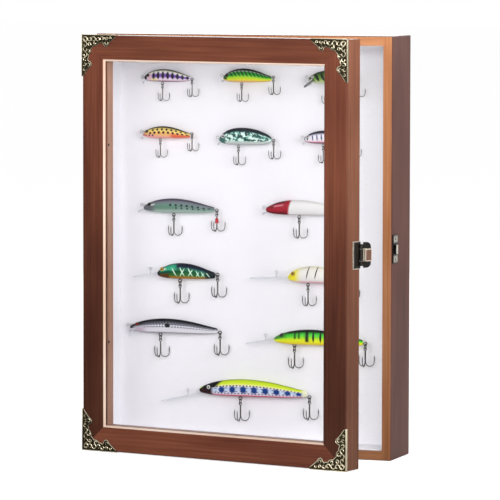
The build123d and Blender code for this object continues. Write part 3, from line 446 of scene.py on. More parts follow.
# %% [markdown]
# The case's boards have the same stain, a little thinner and cooler, on their outsides. Their
# narrow front edges are end and edge grain that was sanded through and only lightly stained, a
# warm light brown. The edge is picked out by its direction: a face that looks straight at the
# front is edge wood.

# %% Case boards with lighter front edges
CASE_STAIN = ("#4C2C25", "#5F3B33", "#724A40")
EDGE_STAIN = ("#8A5636", "#A16B47", "#B5805B")
BOARDS = {"case_left_side": 2, "case_right_side": 2, "case_top": 0, "case_bottom": 0}


def front_edge(tree, where):
    """Picks faces that look straight at the front, on the front half of the case."""
    straight = facing(tree, (0, -1, 0), *STRAIGHT)
    depth = node(tree, "SeparateXYZ", {"Vector": where}).outputs["Y"]
    near = node(tree, "Math", {0: depth, 1: 0.0}, operation="LESS_THAN")
    return node(tree, "Math", {0: straight, 1: near}, operation="MULTIPLY")


# the case boards and their front edges also carry painted shade towards the foot and painted light
# towards the top
for index, (name, along) in enumerate(BOARDS.items()):
    edges = (EDGE_STAIN, (0.70, 1.45), front_edge)
    dress(stained_wood("stained_" + name, 0.0, along, CASE_STAIN, (0.85, 1.1), 6.1 + index, edges), name)
print("edge stain", EDGE_STAIN)

# %% [markdown]
# ## Glazing beads, linings, board and back panel
# The strips behind the glass are the same wood, sanded and stained more thinly. The board is
# foam-core faced with white paper, and the linings are white card. The back panel is plain brown
# fibre board, which has no grain, only a fine speckle.

# %% Beads, white board and back panel
BEAD_STAIN = ("#8A6250", "#A67C67", "#BE947E")
for index, side in enumerate(("left", "right", "top", "bottom")):
    along = 2 if side in ("left", "right") else 0
    # the beads keep the default painted shade towards the foot
    wood = stained_wood("stained_bead_" + side, DOOR_OPEN, along, BEAD_STAIN, seed=11.0 + index)
    dress(wood, "glazing_bead_" + side)


def speckled(name, dark, light, grit_mm, roughness, bump_strength):
    """A matt board with a fine even speckle."""
    material, tree, shader = new_material(name)
    where = node(tree, "TexCoord").outputs["Object"]
    speck = node(
        tree,
        "TexNoise",
        {"Vector": where, "Scale": 1 / (grit_mm * MM), "Detail": 3.0, "Roughness": 0.7},
    )
    colour = node(tree, "ValToRGB", {"Fac": speck})
    set_ramp(colour, [(0.30, dark), (0.70, light)])
    bump = node(tree, "Bump", {"Strength": bump_strength, "Distance": 0.0002, "Height": speck})
    fill(tree, shader, {"Base Color": colour, "Normal": bump, "Roughness": roughness})
    return material


dress(speckled("white_foam_core", "#F4F3F7", "#FAF9FC", 1.6, 0.75, 0.04), "pinning_board")
dress(speckled("white_card_lining", "#F2F1F6", "#F9F8FC", 2.2, 0.7, 0.04), "wall_liners")
dress(speckled("brown_fibre_board", "#6B4E37", "#8A6A4C", 1.2, 0.8, 0.25), "back_panel")
print("bead stain", BEAD_STAIN)

# %% [markdown]
# ## Glass
# Float glass, 2 mm thick, is nearly invisible: it shows only by a faint reflection of the tent.
# Light must also fall through it on the board. Lamps' shadow rays and the soft light that board
# and lures gather from all round would find only a bent, dim way through, so for those rays the
# pane is simply clear, with the slight loss that real glass has.

# %% Glass material
SMOKE_FROM, SMOKE_TO = 14.0, 12.0     # millimetres from the smoked place, where the tint sets in


def see_through(name, colour, passed, ior, rough, haze_mm, smoked=None):
    """Clear material that bends what is looked at, and lets plain light straight through. rough
    is (lowest, highest); smoked is a place round which the plastic is tinted dark."""
    material, tree, shader = new_material(name)
    where = node(tree, "TexCoord").outputs["Object"]
    haze = node(tree, "TexNoise", {"Vector": where, "Scale": 1 / (haze_mm * MM), "Detail": 2.0})
    gloss = node(tree, "MapRange", {"Value": haze, "To Min": rough[0], "To Max": rough[1]})
    tone = linear(colour)
    if smoked:
        offset = node(tree, "VectorMath", {0: where, 1: smoked}, operation="SUBTRACT")
        away = node(tree, "VectorMath", {0: offset}, operation="LENGTH")
        near = node(
            tree, "MapRange", {"Value": away, "From Min": SMOKE_FROM * MM, "From Max": SMOKE_TO * MM}
        )
        tones = {"Factor": near, "A": tone, "B": linear("#1E201E")}
        tone = node(tree, "Mix", tones, data_type="RGBA")
    fill(tree, shader, {"Base Color": tone, "Roughness": gloss, "IOR": ior, "Transmission Weight": 1.0})
    clear = node(tree, "BsdfTransparent", {"Color": linear(passed)})
    seen = node(tree, "LightPath")
    plain = node(
        tree,
        "Math",
        {0: seen.outputs["Is Shadow Ray"], 1: seen.outputs["Is Diffuse Ray"]},
        operation="MAXIMUM",
    )
    through = node(tree, "MixShader", {0: plain, 1: shader, 2: clear})
    fill(tree, tree.nodes["Material Output"], {"Surface": through})
    return material


GLASS_IOR = 1.5
dress(see_through("float_glass", "#FDFDFE", "#FAFAFB", GLASS_IOR, (0.0, 0.01), 40.0), "glass_pane")
print("glass", round((glass_high.z - glass_low.z) / MM, 1), "mm thick")

# %% [markdown]
# ## Antique bronze
# The corners, latch and hinges are pressed metal with an antique finish: brass plating, darkened
# all over and then rubbed, so the high places shine pale gold and the hollows stay almost black.
# On hinge leaves and pins the rubbing left cloudy dark patches, and screws and nails stayed dark.

# %% Bronze material for plates, hinges and screws


def antique_bronze(name, dark, light, cloud_mm, roughness):
    """Rubbed plating: cloudy dark patina over brass."""
    material, tree, shader = new_material(name)
    where = node(tree, "TexCoord").outputs["Object"]
    cloud = node(
        tree,
        "TexNoise",
        {"Vector": where, "Scale": 1 / (cloud_mm * MM), "Detail": 5.0, "Roughness": 0.65},
    )
    colour = node(tree, "ValToRGB", {"Fac": cloud})
    set_ramp(colour, [(0.32, dark), (0.68, light)])
    gloss = node(
        tree, "MapRange", {"Value": cloud, "To Min": roughness + 0.14, "To Max": roughness - 0.06}
    )
    bump = node(tree, "Bump", {"Strength": 0.2, "Distance": 0.0002, "Height": cloud})
    fill(tree, shader, {"Base Color": colour, "Roughness": gloss, "Normal": bump, "Metallic": 1.0})
    return material


plate_bronze = antique_bronze("antique_bronze_plate", "#3B3226", "#8F7E62", 3.0, 0.34)
dark_bronze = antique_bronze("antique_bronze_dark", "#1E1914", "#4A3F30", 1.5, 0.42)
dress(plate_bronze, "latch_pin", "hinge_case_leaves", "hinge_door_leaves", "hinge_pins")
dress(dark_bronze, "latch_plate_screws", "latch_catch_screws", "bead_pins", "corner_nails")
dress(dark_bronze, "hinge_case_screws", "hinge_door_screws")
print("bronze on plates:", plate_bronze.name, "and on screws:", dark_bronze.name)

# %% [markdown]
# The latch's plates are the same metal, dark with patina, with painted highlights and painted shade laid
# on them. The door's plate is dark, patina and painted shade, with a painted highlight along its rim.
# The hasp is dark round its bump, whose edges carry a painted highlight and whose face shows warm brass.
# The catch has two silvery pads for its screws, outlines of painted shade, and a painted highlight on
# the crest of its hook. How deep a point lies inside such a field, in millimetres, picks its colour.

# %% Latch plates with patina, painted highlights and painted shade
HASP_TURN = radians(25)
BUMP_FROM, BUMP_TO, BUMP_HALF = 2.3, 9.9, 6.0     # along the hasp from its pin, and half its height
PAD_AT, PAD_HALF = 10.05, 4.45     # the catch's pads, above and below its middle
# the hook's crest, from this far out, gets a painted highlight
CREST_MM = 4.0          # the hook's crest starts this far out from the case's side
CREST_SOFT_MM = 0.6
BLOTCH_MM = 1.2           # size of the blotches that break up each edge between two colours
UNEVEN_MM = 0.8         # and how far they can shift it
DEEP_FROM, DEEP_TO = -1.0, 4.0     # depths, in millimetres, at the ends of the colour ramp


def plate_patina_and_painted_light(name, stops, fields, crest=None):
    """Plate metal with patina, painted highlights and painted shade, whose colour goes by depth inside a
    field of (direction, middle, half, apart).
    """
    material, tree, shader = new_material(name)
    where = node(tree, "TexCoord").outputs["Object"]
    depth = None
    for direction, middle, half, apart in fields:
        along = node(tree, "VectorMath", {0: where, 1: direction}, operation="DOT_PRODUCT")
        for centre in (middle, apart):
            offset = node(tree, "Math", {0: along, 1: centre}, operation="SUBTRACT")
            along = node(tree, "Math", {0: offset}, operation="ABSOLUTE")
        inside = node(tree, "Math", {0: half, 1: along}, operation="SUBTRACT")
        if depth is None:
            depth = inside
        else:
            depth = node(tree, "Math", {0: depth, 1: inside}, operation="MINIMUM")
    cloud = node(tree, "TexNoise", {"Vector": where, "Scale": 1 / (BLOTCH_MM * MM), "Detail": 3.0})
    broken = node(
        tree, "MapRange", {"Value": cloud, "To Min": -UNEVEN_MM * MM, "To Max": UNEVEN_MM * MM}
    )
    uneven = node(tree, "Math", {0: depth, 1: broken}, operation="ADD")
    share = node(
        tree, "MapRange", {"Value": uneven, "From Min": DEEP_FROM * MM, "From Max": DEEP_TO * MM}
    )
    colour = node(tree, "ValToRGB", {"Fac": share})
    set_ramp(colour, [((mm - DEEP_FROM) / (DEEP_TO - DEEP_FROM), shade) for mm, shade in stops])
    # a painted highlight along the hook's crest
    if crest:
        height = node(tree, "SeparateXYZ", {"Vector": where}).outputs["X"]
        painted_highlight = node(
            tree,
            "MapRange",
            {"Value": height, "From Min": crest, "From Max": crest + CREST_SOFT_MM * MM},
        )
        colour = node(
            tree, "Mix", {"Factor": painted_highlight, "A": colour, "B": linear("#BDB8AC")}, data_type="RGBA"
        )
    gloss = node(tree, "MapRange", {"Value": cloud, "To Min": 0.46, "To Max": 0.22})
    fill(tree, shader, {"Base Color": colour, "Roughness": gloss, "Metallic": 0.5})
    return material


def whole(name, direction):
    """The field across all of a plate."""
    reach = [vertex.co.dot(direction) for vertex in nodes[name].data.vertices]
    return direction, (min(reach) + max(reach)) / 2, (max(reach) - min(reach)) / 2, 0.0


hasp_along = across * sin(HASP_TURN) - forward * cos(HASP_TURN)
pin_low, pin_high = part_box("latch_pin")
pin_at = (Vector(pin_low) + Vector(pin_high)) / 2
bump_middle = pin_at.dot(hasp_along) + (BUMP_FROM + BUMP_TO) / 2 * MM
bump_half = (BUMP_TO - BUMP_FROM) / 2 * MM
catch_middle = whole("latch_catch", up)[1]
case_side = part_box("latch_catch")[0][0]

# each list of stops holds patina, painted highlights on the rims and painted shade in the outlines
for piece, name, crest, stops, fields in (
    (
        "latch_door_plate", "latch_plate_patina_and_highlight", None,
        [(-0.2, "#8A8070"), (0.5, "#E8E1D2"), (1.0, "#3A3028"), (2.2, "#15100C")],
        [whole("latch_door_plate", forward), whole("latch_door_plate", up)],
    ),
    (
        "latch_hasp", "hasp_patina_and_highlight", None,
        [(-0.5, "#15100C"), (-0.1, "#E2D8C8"), (0.4, "#DACDBA"), (0.9, "#6F4E40")],
        [(hasp_along, bump_middle, bump_half, 0.0), (up, pin_at.z, BUMP_HALF * MM, 0.0)],
    ),
    (
        "latch_catch", "catch_shade_and_highlight", case_side + CREST_MM * MM,
        [(0.5, "#120E0B"), (1.3, "#A09C92"), (3.0, "#CBC7BC")],
        [whole("latch_catch", Vector((0, 1, 0))), (up, catch_middle, PAD_HALF * MM, PAD_AT * MM)],
    ),
):
    dress(plate_patina_and_painted_light(name, stops, fields, crest), piece)
print("hasp points along", tuple(round(v, 2) for v in hasp_along))

# %% [markdown]
# ## Steel
# The screws, hanger plates and display pins are bright zinc-plated steel. The hooks and rings are
# fine steel wire with a dark nickel finish, which shows as dark grey with small highlights.

# %% Steel materials


def plated_steel(name, colour, roughness, grain_mm):
    """Plated steel with a faint drawn texture."""
    material, tree, shader = new_material(name)
    where = node(tree, "TexCoord").outputs["Object"]
    grain = node(tree, "TexNoise", {"Vector": where, "Scale": 1 / (grain_mm * MM), "Detail": 2.0})
    gloss = node(
        tree, "MapRange", {"Value": grain, "To Min": roughness - 0.06, "To Max": roughness + 0.10}
    )
    fill(tree, shader, {"Roughness": gloss, "Base Color": linear(colour), "Metallic": 1.0})
    return material


zinc = plated_steel("zinc_plated_steel", "#B9BABB", 0.34, 1.0)
black_nickel = plated_steel("black_nickel_wire", "#5E5B58", 0.24, 0.6)
dress(zinc, "back_panel_screws", "hanger_plates", "hanger_screws", "display_pins")
print("steels:", zinc.name, "and", black_nickel.name)

# %% [markdown]
# ## From a bmesh to a finished piece
# Every new piece ends the same way: near-equal points are merged, the faces are turned outwards,
# and the mesh becomes an object that rides on a body of the model. Its place is in its points,
# so the object itself stays at the origin.

# %% Finishing helper
SAME_POINT = 1e-7       # metres between points that are one and the same
SAME_CORNER = 1e-6      # and in a CAD node, whose triangles are loose


def finish_piece(mesh, name, body, material, replaced=(), smooth_angle=None):
    """Turns a bmesh into an object that rides on a body."""
    bmesh.ops.remove_doubles(mesh, verts=mesh.verts, dist=SAME_POINT)
    bmesh.ops.recalc_face_normals(mesh, faces=mesh.faces)
    for face in mesh.faces:
        face.smooth = True
    data = bpy.data.meshes.new(name)
    mesh.to_mesh(data)
    mesh.free()
    for one in material if isinstance(material, list) else [material]:
        data.materials.append(one)
    piece = bpy.data.objects.new(name, data)
    bpy.context.scene.collection.objects.link(piece)
    if smooth_angle:
        data.set_sharp_from_angle(angle=radians(smooth_angle))
    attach(piece, body)
    if replaced:
        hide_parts(*replaced)
    return piece


def islands(name):
    """Low and high corner of each separate solid of a CAD node."""
    copy = bmesh.new()
    copy.from_mesh(nodes[name].data)
    bmesh.ops.remove_doubles(copy, verts=copy.verts, dist=SAME_CORNER)
    left = set(copy.verts)
    boxes = []
    while left:
        front = [left.pop()]
        group = list(front)
        while front:
            for edge in front.pop().link_edges:
                for vertex in edge.verts:
                    if vertex in left:
                        left.discard(vertex)
                        front.append(vertex)
                        group.append(vertex)
        boxes.append(
            [Vector(pick(v.co[axis] for v in group) for axis in range(3)) for pick in (min, max)]
        )
    copy.free()
    return sorted(boxes, key=lambda box: (-box[0].z, box[0].x))


print("hooks:", len(islands("belly_hooks")), "rings:", len(islands("split_rings")))

# %% [markdown]
# ## Scrolled corners
# Each corner is one pressed plate: an outline of leaves and scrolls, a raised rim, and C-shaped
# scrolls standing up from a sunk ground, folded over the door's edges as a narrow flange. It
# could be a height map, but real relief catches the light better from every side. The plate is
# an outline filled and extruded, and each scroll is a small section extruded along its curve.

# %% Corner plate
corner_low, corner_high = door_extent("corner_top_left")
PLATE_W = stile_high.z                     # the door's front face
CORNER_THICK = corner_high.z - PLATE_W
FLANGE = 0.6 * MM                          # thickness of the folds over the door's edges
FLANGE_DEEP = 0.62 * (PLATE_W - corner_low.z)
LEG = corner_high.x - corner_low.x - FLANGE

# half outline of the leafy edge in millimetres, from the middle to the tip of a leg
CORNER_OUTLINE = [
    (12.6, 12.6), (14.6, 10.6), (17.0, 10.8), (19.2, 9.6), (20.6, 7.8), (22.8, 8.0), (25.0, 6.8),
    (26.6, 8.2), (27.4, 10.4), (29.2, 11.6), (31.6, 11.0), (33.0, 9.0), (35.2, 6.6), (38.4, 4.2),
    (LEG / MM - 0.6, 1.5), (LEG / MM, 0.0),
]
# C-scrolls of one leg as (a, b, radius, start, sweep) in millimetres and degrees
CORNER_SCROLLS = [
    (4.4, 4.4, 2.8, 225, 330), (9.6, 4.0, 2.6, 200, -300), (9.4, 9.2, 1.9, 60, 300),
    (14.6, 4.2, 3.0, 160, 320), (16.4, 8.2, 1.7, 250, -280), (20.2, 4.0, 2.5, 190, -310),
    (25.2, 3.4, 2.2, 150, 300), (30.2, 7.9, 2.3, 250, 330), (30.4, 2.9, 1.8, 200, -280),
    (35.4, 3.0, 1.5, 160, 280),
]
print("corner leg", round(LEG / MM, 1), "mm; flange", round(FLANGE_DEEP / MM, 1), "mm deep")

# %% [markdown]
# ### Patina by height, and a painted highlight on the folds
# The sunk ground is nearly black, and the tops of the scrolls and the rim are rubbed to pale gold. The
# folds over the door's edges are painted pale too, as a painted highlight on faces that look sideways or
# upwards. The material reads each point's distance in front of the door's face, and whether its face
# looks sideways or upwards, so the same finish fits all four corners. A fine noise breaks up its edge.

# %% Patina and painted highlight of the corners
GRIT_MM = 1.1
relief_bronze, tree, shader = new_material("antique_bronze_relief")
where = node(tree, "TexCoord").outputs["Object"]
from_hinge = node(tree, "VectorMath", {0: where, 1: hinge}, operation="SUBTRACT")
height = node(tree, "VectorMath", {0: from_hinge, 1: forward}, operation="DOT_PRODUCT")
rubbed = node(
    tree,
    "MapRange",
    {"Value": height, "From Min": PLATE_W + 0.15 * MM, "From Max": PLATE_W + CORNER_THICK},
)
grit = node(tree, "TexNoise", {"Vector": where, "Scale": 1 / (GRIT_MM * MM), "Detail": 4.0})
normal = node(tree, "NewGeometry").outputs["True Normal"]
outwards = []
for direction in (across, up):
    turned_to = node(tree, "VectorMath", {0: normal, 1: direction}, operation="DOT_PRODUCT")
    outwards.append(node(tree, "Math", {0: turned_to}, operation="ABSOLUTE"))
outwards = node(tree, "Math", {0: outwards[0], 1: outwards[1]}, operation="MAXIMUM")
# the folds get a painted highlight, on faces that look sideways or upwards
painted_fold_highlight = node(tree, "MapRange", {"Value": outwards, "From Min": 0.95, "From Max": 0.99})
high = node(tree, "Math", {0: rubbed, 1: painted_fold_highlight}, operation="MAXIMUM")
broken = node(tree, "MapRange", {"Value": grit, "To Min": -0.30, "To Max": 0.30})
shade = node(tree, "Math", {0: high, 1: broken}, operation="ADD", use_clamp=True)
colour = node(tree, "ValToRGB", {"Fac": shade})
set_ramp(colour, [(0.16, "#14120C"), (0.52, "#4E4630"), (0.95, "#E6DABC")])
gloss = node(tree, "MapRange", {"Value": shade, "To Min": 0.62, "To Max": 0.26})
fill(tree, shader, {"Base Color": colour, "Roughness": gloss, "Metallic": 1.0})
print("relief", round(CORNER_THICK / MM, 2), "mm high")

# %% [markdown]
# ### Scrolls as ridges
# A scroll is a six-sided section, extruded from point to point along its curve. At each bend the
# section turns halfway into the new direction, so the ridge keeps its thickness, and its last
# ring is drawn in. The curve itself is a circle whose radius shrinks, like a curled leaf.

# %% A ridge drawn along a path
SCROLL_R = 0.58 * MM
GROUND = 0.36 * MM      # thickness of the sunk ground
RIDGE_SIDES = 6
RIM_R = 0.5 * MM
CURL_STEP = 32          # degrees from point to point along a scroll
CURL_IN = 0.42          # how much of its radius a scroll loses from start to end


def ridge(mesh, points, radius, end_scale=0.5):
    """A round ridge extruded from point to point, its ring turned halfway at each bend."""
    steps = [(after - before).normalized() for before, after in zip(points, points[1:])]
    along = [steps[0]] + [(a + b).normalized() for a, b in zip(steps, steps[1:])] + [steps[-1]]
    ring = bmesh.ops.create_circle(mesh, segments=RIDGE_SIDES, radius=radius)["verts"]
    edges = list({edge for vertex in ring for edge in vertex.link_edges})
    first = list(edges)
    turn = Vector((0, 0, 1)).rotation_difference(along[0]).to_matrix().to_4x4()
    bmesh.ops.transform(mesh, matrix=Matrix.Translation(points[0]) @ turn, verts=ring)
    for index in range(1, len(points)):
        grown = bmesh.ops.extrude_edge_only(mesh, edges=edges)["geom"]
        ring = [item for item in grown if isinstance(item, bmesh.types.BMVert)]
        edges = [item for item in grown if isinstance(item, bmesh.types.BMEdge)]
        turn = along[index - 1].rotation_difference(along[index]).to_matrix().to_4x4()
        move = Matrix.Translation(points[index]) @ turn @ Matrix.Translation(-points[index - 1])
        bmesh.ops.transform(mesh, matrix=move, verts=ring)
    bmesh.ops.scale(mesh, vec=(end_scale,) * 3, space=Matrix.Translation(-points[-1]), verts=ring)
    bmesh.ops.holes_fill(mesh, edges=first + edges, sides=0)


def curl(a, b, radius, start, sweep, height):
    """Points of a C-scroll that winds in towards its end."""
    count = max(7, int(abs(sweep) / CURL_STEP))
    made = []
    for index in range(count + 1):
        share = index / count
        angle = radians(start + sweep * share)
        reach = radius * (1 - CURL_IN * share)
        made.append(Vector(((a + reach * cos(angle)) * MM, (b + reach * sin(angle)) * MM, height)))
    return made


print("scroll thickness", 2 * SCROLL_R / MM, "mm")

# %% Corner meshes
FLANGE_EDGE = 0.12 * MM     # rounding of the folds' edges
FOLD_RISE = 0.7             # how far a fold stands above the ground, in halves of a scroll


def corner_mesh():
    """One corner in the door's directions, its outer corner at the origin, legs along +x and +y."""
    mesh = bmesh.new()
    half = [Vector((a * MM, b * MM, 0)) for a, b in CORNER_OUTLINE]
    mirrored = [Vector((p.y, p.x, 0)) for p in reversed(half[1:])]
    outline = half + [Vector((0, 0, 0))] + mirrored
    face = mesh.faces.new([mesh.verts.new(point) for point in outline])
    raised = bmesh.ops.extrude_face_region(mesh, geom=[face])
    top = [item for item in raised["geom"] if isinstance(item, bmesh.types.BMVert)]
    bmesh.ops.translate(mesh, vec=(0, 0, GROUND), verts=top)
    rim = [point + Vector((0, 0, GROUND)) for point in mirrored[1:] + half[:-1]]
    ridge(mesh, rim, RIM_R, 0.7)
    for a, b, radius, start, sweep in CORNER_SCROLLS:
        ridge(mesh, curl(a, b, radius, start, sweep, GROUND), SCROLL_R)
        ridge(mesh, curl(b, a, radius, 90 - start, -sweep, GROUND), SCROLL_R)
    return mesh


def add_flanges(mesh):
    """The two narrow folds over the door's edges, with their outer edges eased."""
    deep = FLANGE_DEEP + GROUND + SCROLL_R
    for size, middle in (
        ((LEG + FLANGE, FLANGE), ((LEG - FLANGE) / 2, -FLANGE / 2)),
        ((FLANGE, LEG + FLANGE), (-FLANGE / 2, (LEG - FLANGE) / 2)),
    ):
        box = bmesh.ops.create_cube(mesh, size=1.0)["verts"]
        bmesh.ops.scale(mesh, vec=(size[0], size[1], deep), verts=box)
        height = GROUND + FOLD_RISE * SCROLL_R - deep / 2
        bmesh.ops.translate(mesh, vec=(middle[0], middle[1], height), verts=box)
        edges = list({edge for vertex in box for edge in vertex.link_edges})
        bmesh.ops.bevel(
            mesh,
            geom=edges,
            offset=FLANGE_EDGE,
            segments=2,
            affect="EDGES",
            profile=0.5,
            material=-1,
        )


for name, side_across, side_up in (
    ("top_left", 1, -1), ("top_right", -1, -1), ("bottom_left", 1, 1), ("bottom_right", -1, 1)
):
    mesh = corner_mesh()
    add_flanges(mesh)
    corner_x = left_low.x if side_across > 0 else stile_high.x
    corner_y = stile_low.y if side_up > 0 else stile_high.y
    at_corner = Matrix.Translation((corner_x, corner_y, PLATE_W))
    flip = Matrix.Diagonal((side_across, side_up, 1, 1))
    bmesh.ops.transform(mesh, matrix=DOOR_FRAME @ at_corner @ flip, verts=mesh.verts)
    finish_piece(
        mesh, "scrolled_corner_" + name, "door", relief_bronze, ["corner_" + name], 40
    )
print("four corners with", 2 * len(CORNER_SCROLLS), "scrolls each")

# %% [markdown]
# ## Lure bodies
# A crankbait's body is moulded plastic with a painted and lacquered skin: an arched back, a
# flatter belly, a blunt nose and a thin tail. It is built like a ship's hull: one oval section
# at the nose, extruded ring by ring towards the tail, each ring scaled to the height and width
# of the body there. A subdivision surface then rounds the hull. The body also gets a UV map of
# its own, with U running from nose to tail and V from belly to back, which the paint follows.

# %% Lure bodies
# along the body: share of its length, top and bottom as shares of its height, width share
MINNOW = [
    (0.000, 0.36, 0.22, 0.14), (0.012, 0.44, 0.16, 0.27), (0.045, 0.55, 0.10, 0.43),
    (0.11, 0.72, 0.04, 0.64), (0.21, 0.88, 0.0, 0.86), (0.38, 1.0, 0.0, 1.0),
    (0.55, 0.955, 0.0, 0.93), (0.70, 0.83, 0.01, 0.77), (0.84, 0.64, 0.03, 0.54),
    (0.94, 0.51, 0.07, 0.36), (0.985, 0.46, 0.10, 0.24), (1.000, 0.42, 0.14, 0.12),
]
ROUND = [
    (0.000, 0.34, 0.24, 0.12), (0.012, 0.42, 0.18, 0.25), (0.045, 0.56, 0.11, 0.45),
    (0.11, 0.74, 0.05, 0.67), (0.21, 0.91, 0.0, 0.89), (0.38, 1.0, 0.0, 1.0),
    (0.55, 0.98, 0.0, 0.95), (0.70, 0.90, 0.01, 0.82), (0.84, 0.75, 0.04, 0.62),
    (0.94, 0.60, 0.10, 0.42), (0.985, 0.48, 0.18, 0.26), (1.000, 0.40, 0.24, 0.12),
]
print("rings per hull:", len(MINNOW))

# %% Hull meshes
RING_POINTS = 20


def between(profile, share, column):
    """A profile's value at a share of the length."""
    for left, right in zip(profile, profile[1:]):
        if share <= right[0]:
            mix = (share - left[0]) / (right[0] - left[0])
            return left[column] + (right[column] - left[column]) * mix
    return profile[-1][column]


def body_shape(name, profile):
    """A lure's hull inside the box of its CAD solid, with its own UV map."""
    low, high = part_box(name)
    length, tall, wide = high[0] - low[0], high[2] - low[2], high[1] - low[1]
    middle_y = (low[1] + high[1]) / 2
    mesh = bmesh.new()
    ring = bmesh.ops.create_circle(mesh, segments=RING_POINTS, radius=1.0)["verts"]
    bmesh.ops.rotate(mesh, verts=ring, cent=(0, 0, 0), matrix=Matrix.Rotation(pi / 2, 3, "Y"))
    edges = list({edge for vertex in ring for edge in vertex.link_edges})
    first = list(ring)
    last_size = (1.0, 1.0)
    last_place = Vector((0, 0, 0))
    for index, (share, top, bottom, width) in enumerate(profile):
        if index:
            grown = bmesh.ops.extrude_edge_only(mesh, edges=edges)["geom"]
            ring = [item for item in grown if isinstance(item, bmesh.types.BMVert)]
            edges = [item for item in grown if isinstance(item, bmesh.types.BMEdge)]
        size = (width * wide / 2, (top - bottom) * tall / 2)
        place = Vector((low[0] + share * length, middle_y, low[2] + (top + bottom) / 2 * tall))
        growth = (1, size[0] / last_size[0], size[1] / last_size[1])
        bmesh.ops.scale(mesh, vec=growth, space=Matrix.Translation(-last_place), verts=ring)
        bmesh.ops.translate(mesh, vec=place - last_place, verts=ring)
        last_size, last_place = size, place
    for loop_verts in (first, ring):
        around = {edge for vertex in loop_verts for edge in vertex.link_edges}
        rim = [edge for edge in around if len(edge.link_faces) == 1]
        bmesh.ops.holes_fill(mesh, edges=rim, sides=0)
    layer = mesh.loops.layers.uv.new("paint")
    for face in mesh.faces:
        for loop in face.loops:
            point = loop.vert.co
            share = min(1.0, max(0.0, (point.x - low[0]) / length))
            top = low[2] + between(profile, share, 1) * tall
            bottom = low[2] + between(profile, share, 2) * tall
            loop[layer].uv = (share, (point.z - bottom) / (top - bottom))
    return mesh


print("points per ring:", RING_POINTS)

# %% [markdown]
# ## Lure paint
# Lures are spray-painted through stencils: a soft blend from belly to back first, then bars,
# ovals or spots, and a darker line along the back, all under clear gloss lacquer. So each
# finish is a colour ramp over V with a list of stencils laid on top. A stencil is a small
# function that returns a mask from U and V.

# %% Stencils for areas


def patch(u_from, u_to, v_from, v_to, soft=0.04, lean=0.0):
    """A soft-edged area between two shares along the body and two shares of its height."""

    def mask(tree, u, v, stretch):
        leaned = node(tree, "Math", {0: v, 1: lean, 2: u}, operation="MULTIPLY_ADD")
        limits = ((leaned, u_from, 1), (leaned, u_to, -1), (v, v_from, 1), (v, v_to, -1))
        result = None
        for value, edge, side in limits:
            width = side * soft * (0.5 if value is leaned else 1.0)
            step = node(
                tree,
                "MapRange",
                {"Value": value, "From Min": edge - width, "From Max": edge + width},
                interpolation_type="SMOOTHSTEP",
            )
            if result is None:
                result = step
            else:
                result = node(tree, "Math", {0: result, 1: step}, operation="MULTIPLY")
        return result

    return mask


print("area stencil:", patch.__name__)

# %% Stencils for rows of marks
ROW_END = 0.01          # softness of a row's two ends, in pitches


def marks(count, u_from, u_to, v_mid, half_width, half_height, lean=0.0, soft=0.3):
    """A row of ovals, or of bars where they are taller than the body; half_width is of the pitch."""

    def mask(tree, u, v, stretch):
        offset = node(tree, "Math", {0: v, 1: v_mid}, operation="SUBTRACT")
        leaned = node(tree, "Math", {0: offset, 1: lean, 2: u}, operation="MULTIPLY_ADD")
        row = node(
            tree,
            "MapRange",
            {"Value": leaned, "From Min": u_from, "From Max": u_to, "To Max": float(count)},
            clamp=False,
        )
        cell = node(tree, "Math", {0: row}, operation="FRACT")
        dx = node(
            tree,
            "MapRange",
            {"Value": cell, "To Min": -0.5 / half_width, "To Max": 0.5 / half_width},
            clamp=False,
        )
        dv = node(tree, "Math", {0: offset, 1: half_height}, operation="DIVIDE")
        point = node(tree, "CombineXYZ", {"X": dx, "Y": dv})
        far = node(tree, "VectorMath", {0: point}, operation="LENGTH")
        result = node(
            tree,
            "MapRange",
            {"Value": far, "From Min": 1 + soft, "From Max": 1 - soft},
            interpolation_type="SMOOTHSTEP",
        )
        for end, width in ((0, ROW_END), (count, -ROW_END)):
            within = node(
                tree, "MapRange", {"Value": row, "From Min": end - width, "From Max": end + width}
            )
            result = node(tree, "Math", {0: result, 1: within}, operation="MULTIPLY")
        return result

    return mask


print("row stencil:", marks.__name__)

# %% Stencils for camouflage


def blotches(per_height, level_at, v_from, v_to, soft=0.05):
    """Irregular camouflage patches; per_height is how many fit in the body's height."""

    def mask(tree, u, v, stretch):
        stretched = node(tree, "Math", {0: u, 1: stretch}, operation="MULTIPLY")
        spread = node(tree, "CombineXYZ", {"X": stretched, "Y": v})
        cloud = node(
            tree, "TexNoise", {"Vector": spread, "Scale": per_height, "Detail": 1.0, "Distortion": 0.6}
        )
        cut = node(
            tree,
            "MapRange",
            {"Value": cloud, "From Min": level_at - soft, "From Max": level_at + soft},
            interpolation_type="SMOOTHSTEP",
        )
        area = patch(0.0, 1.0, v_from, v_to)(tree, u, v, stretch)
        return node(tree, "Math", {0: cut, 1: area}, operation="MULTIPLY")

    return mask


print("camouflage stencil:", blotches.__name__)

# %% Lacquered paint
SCALE_MM = 1.1          # width of a moulded fish scale, coarser than the real ones so that it shows


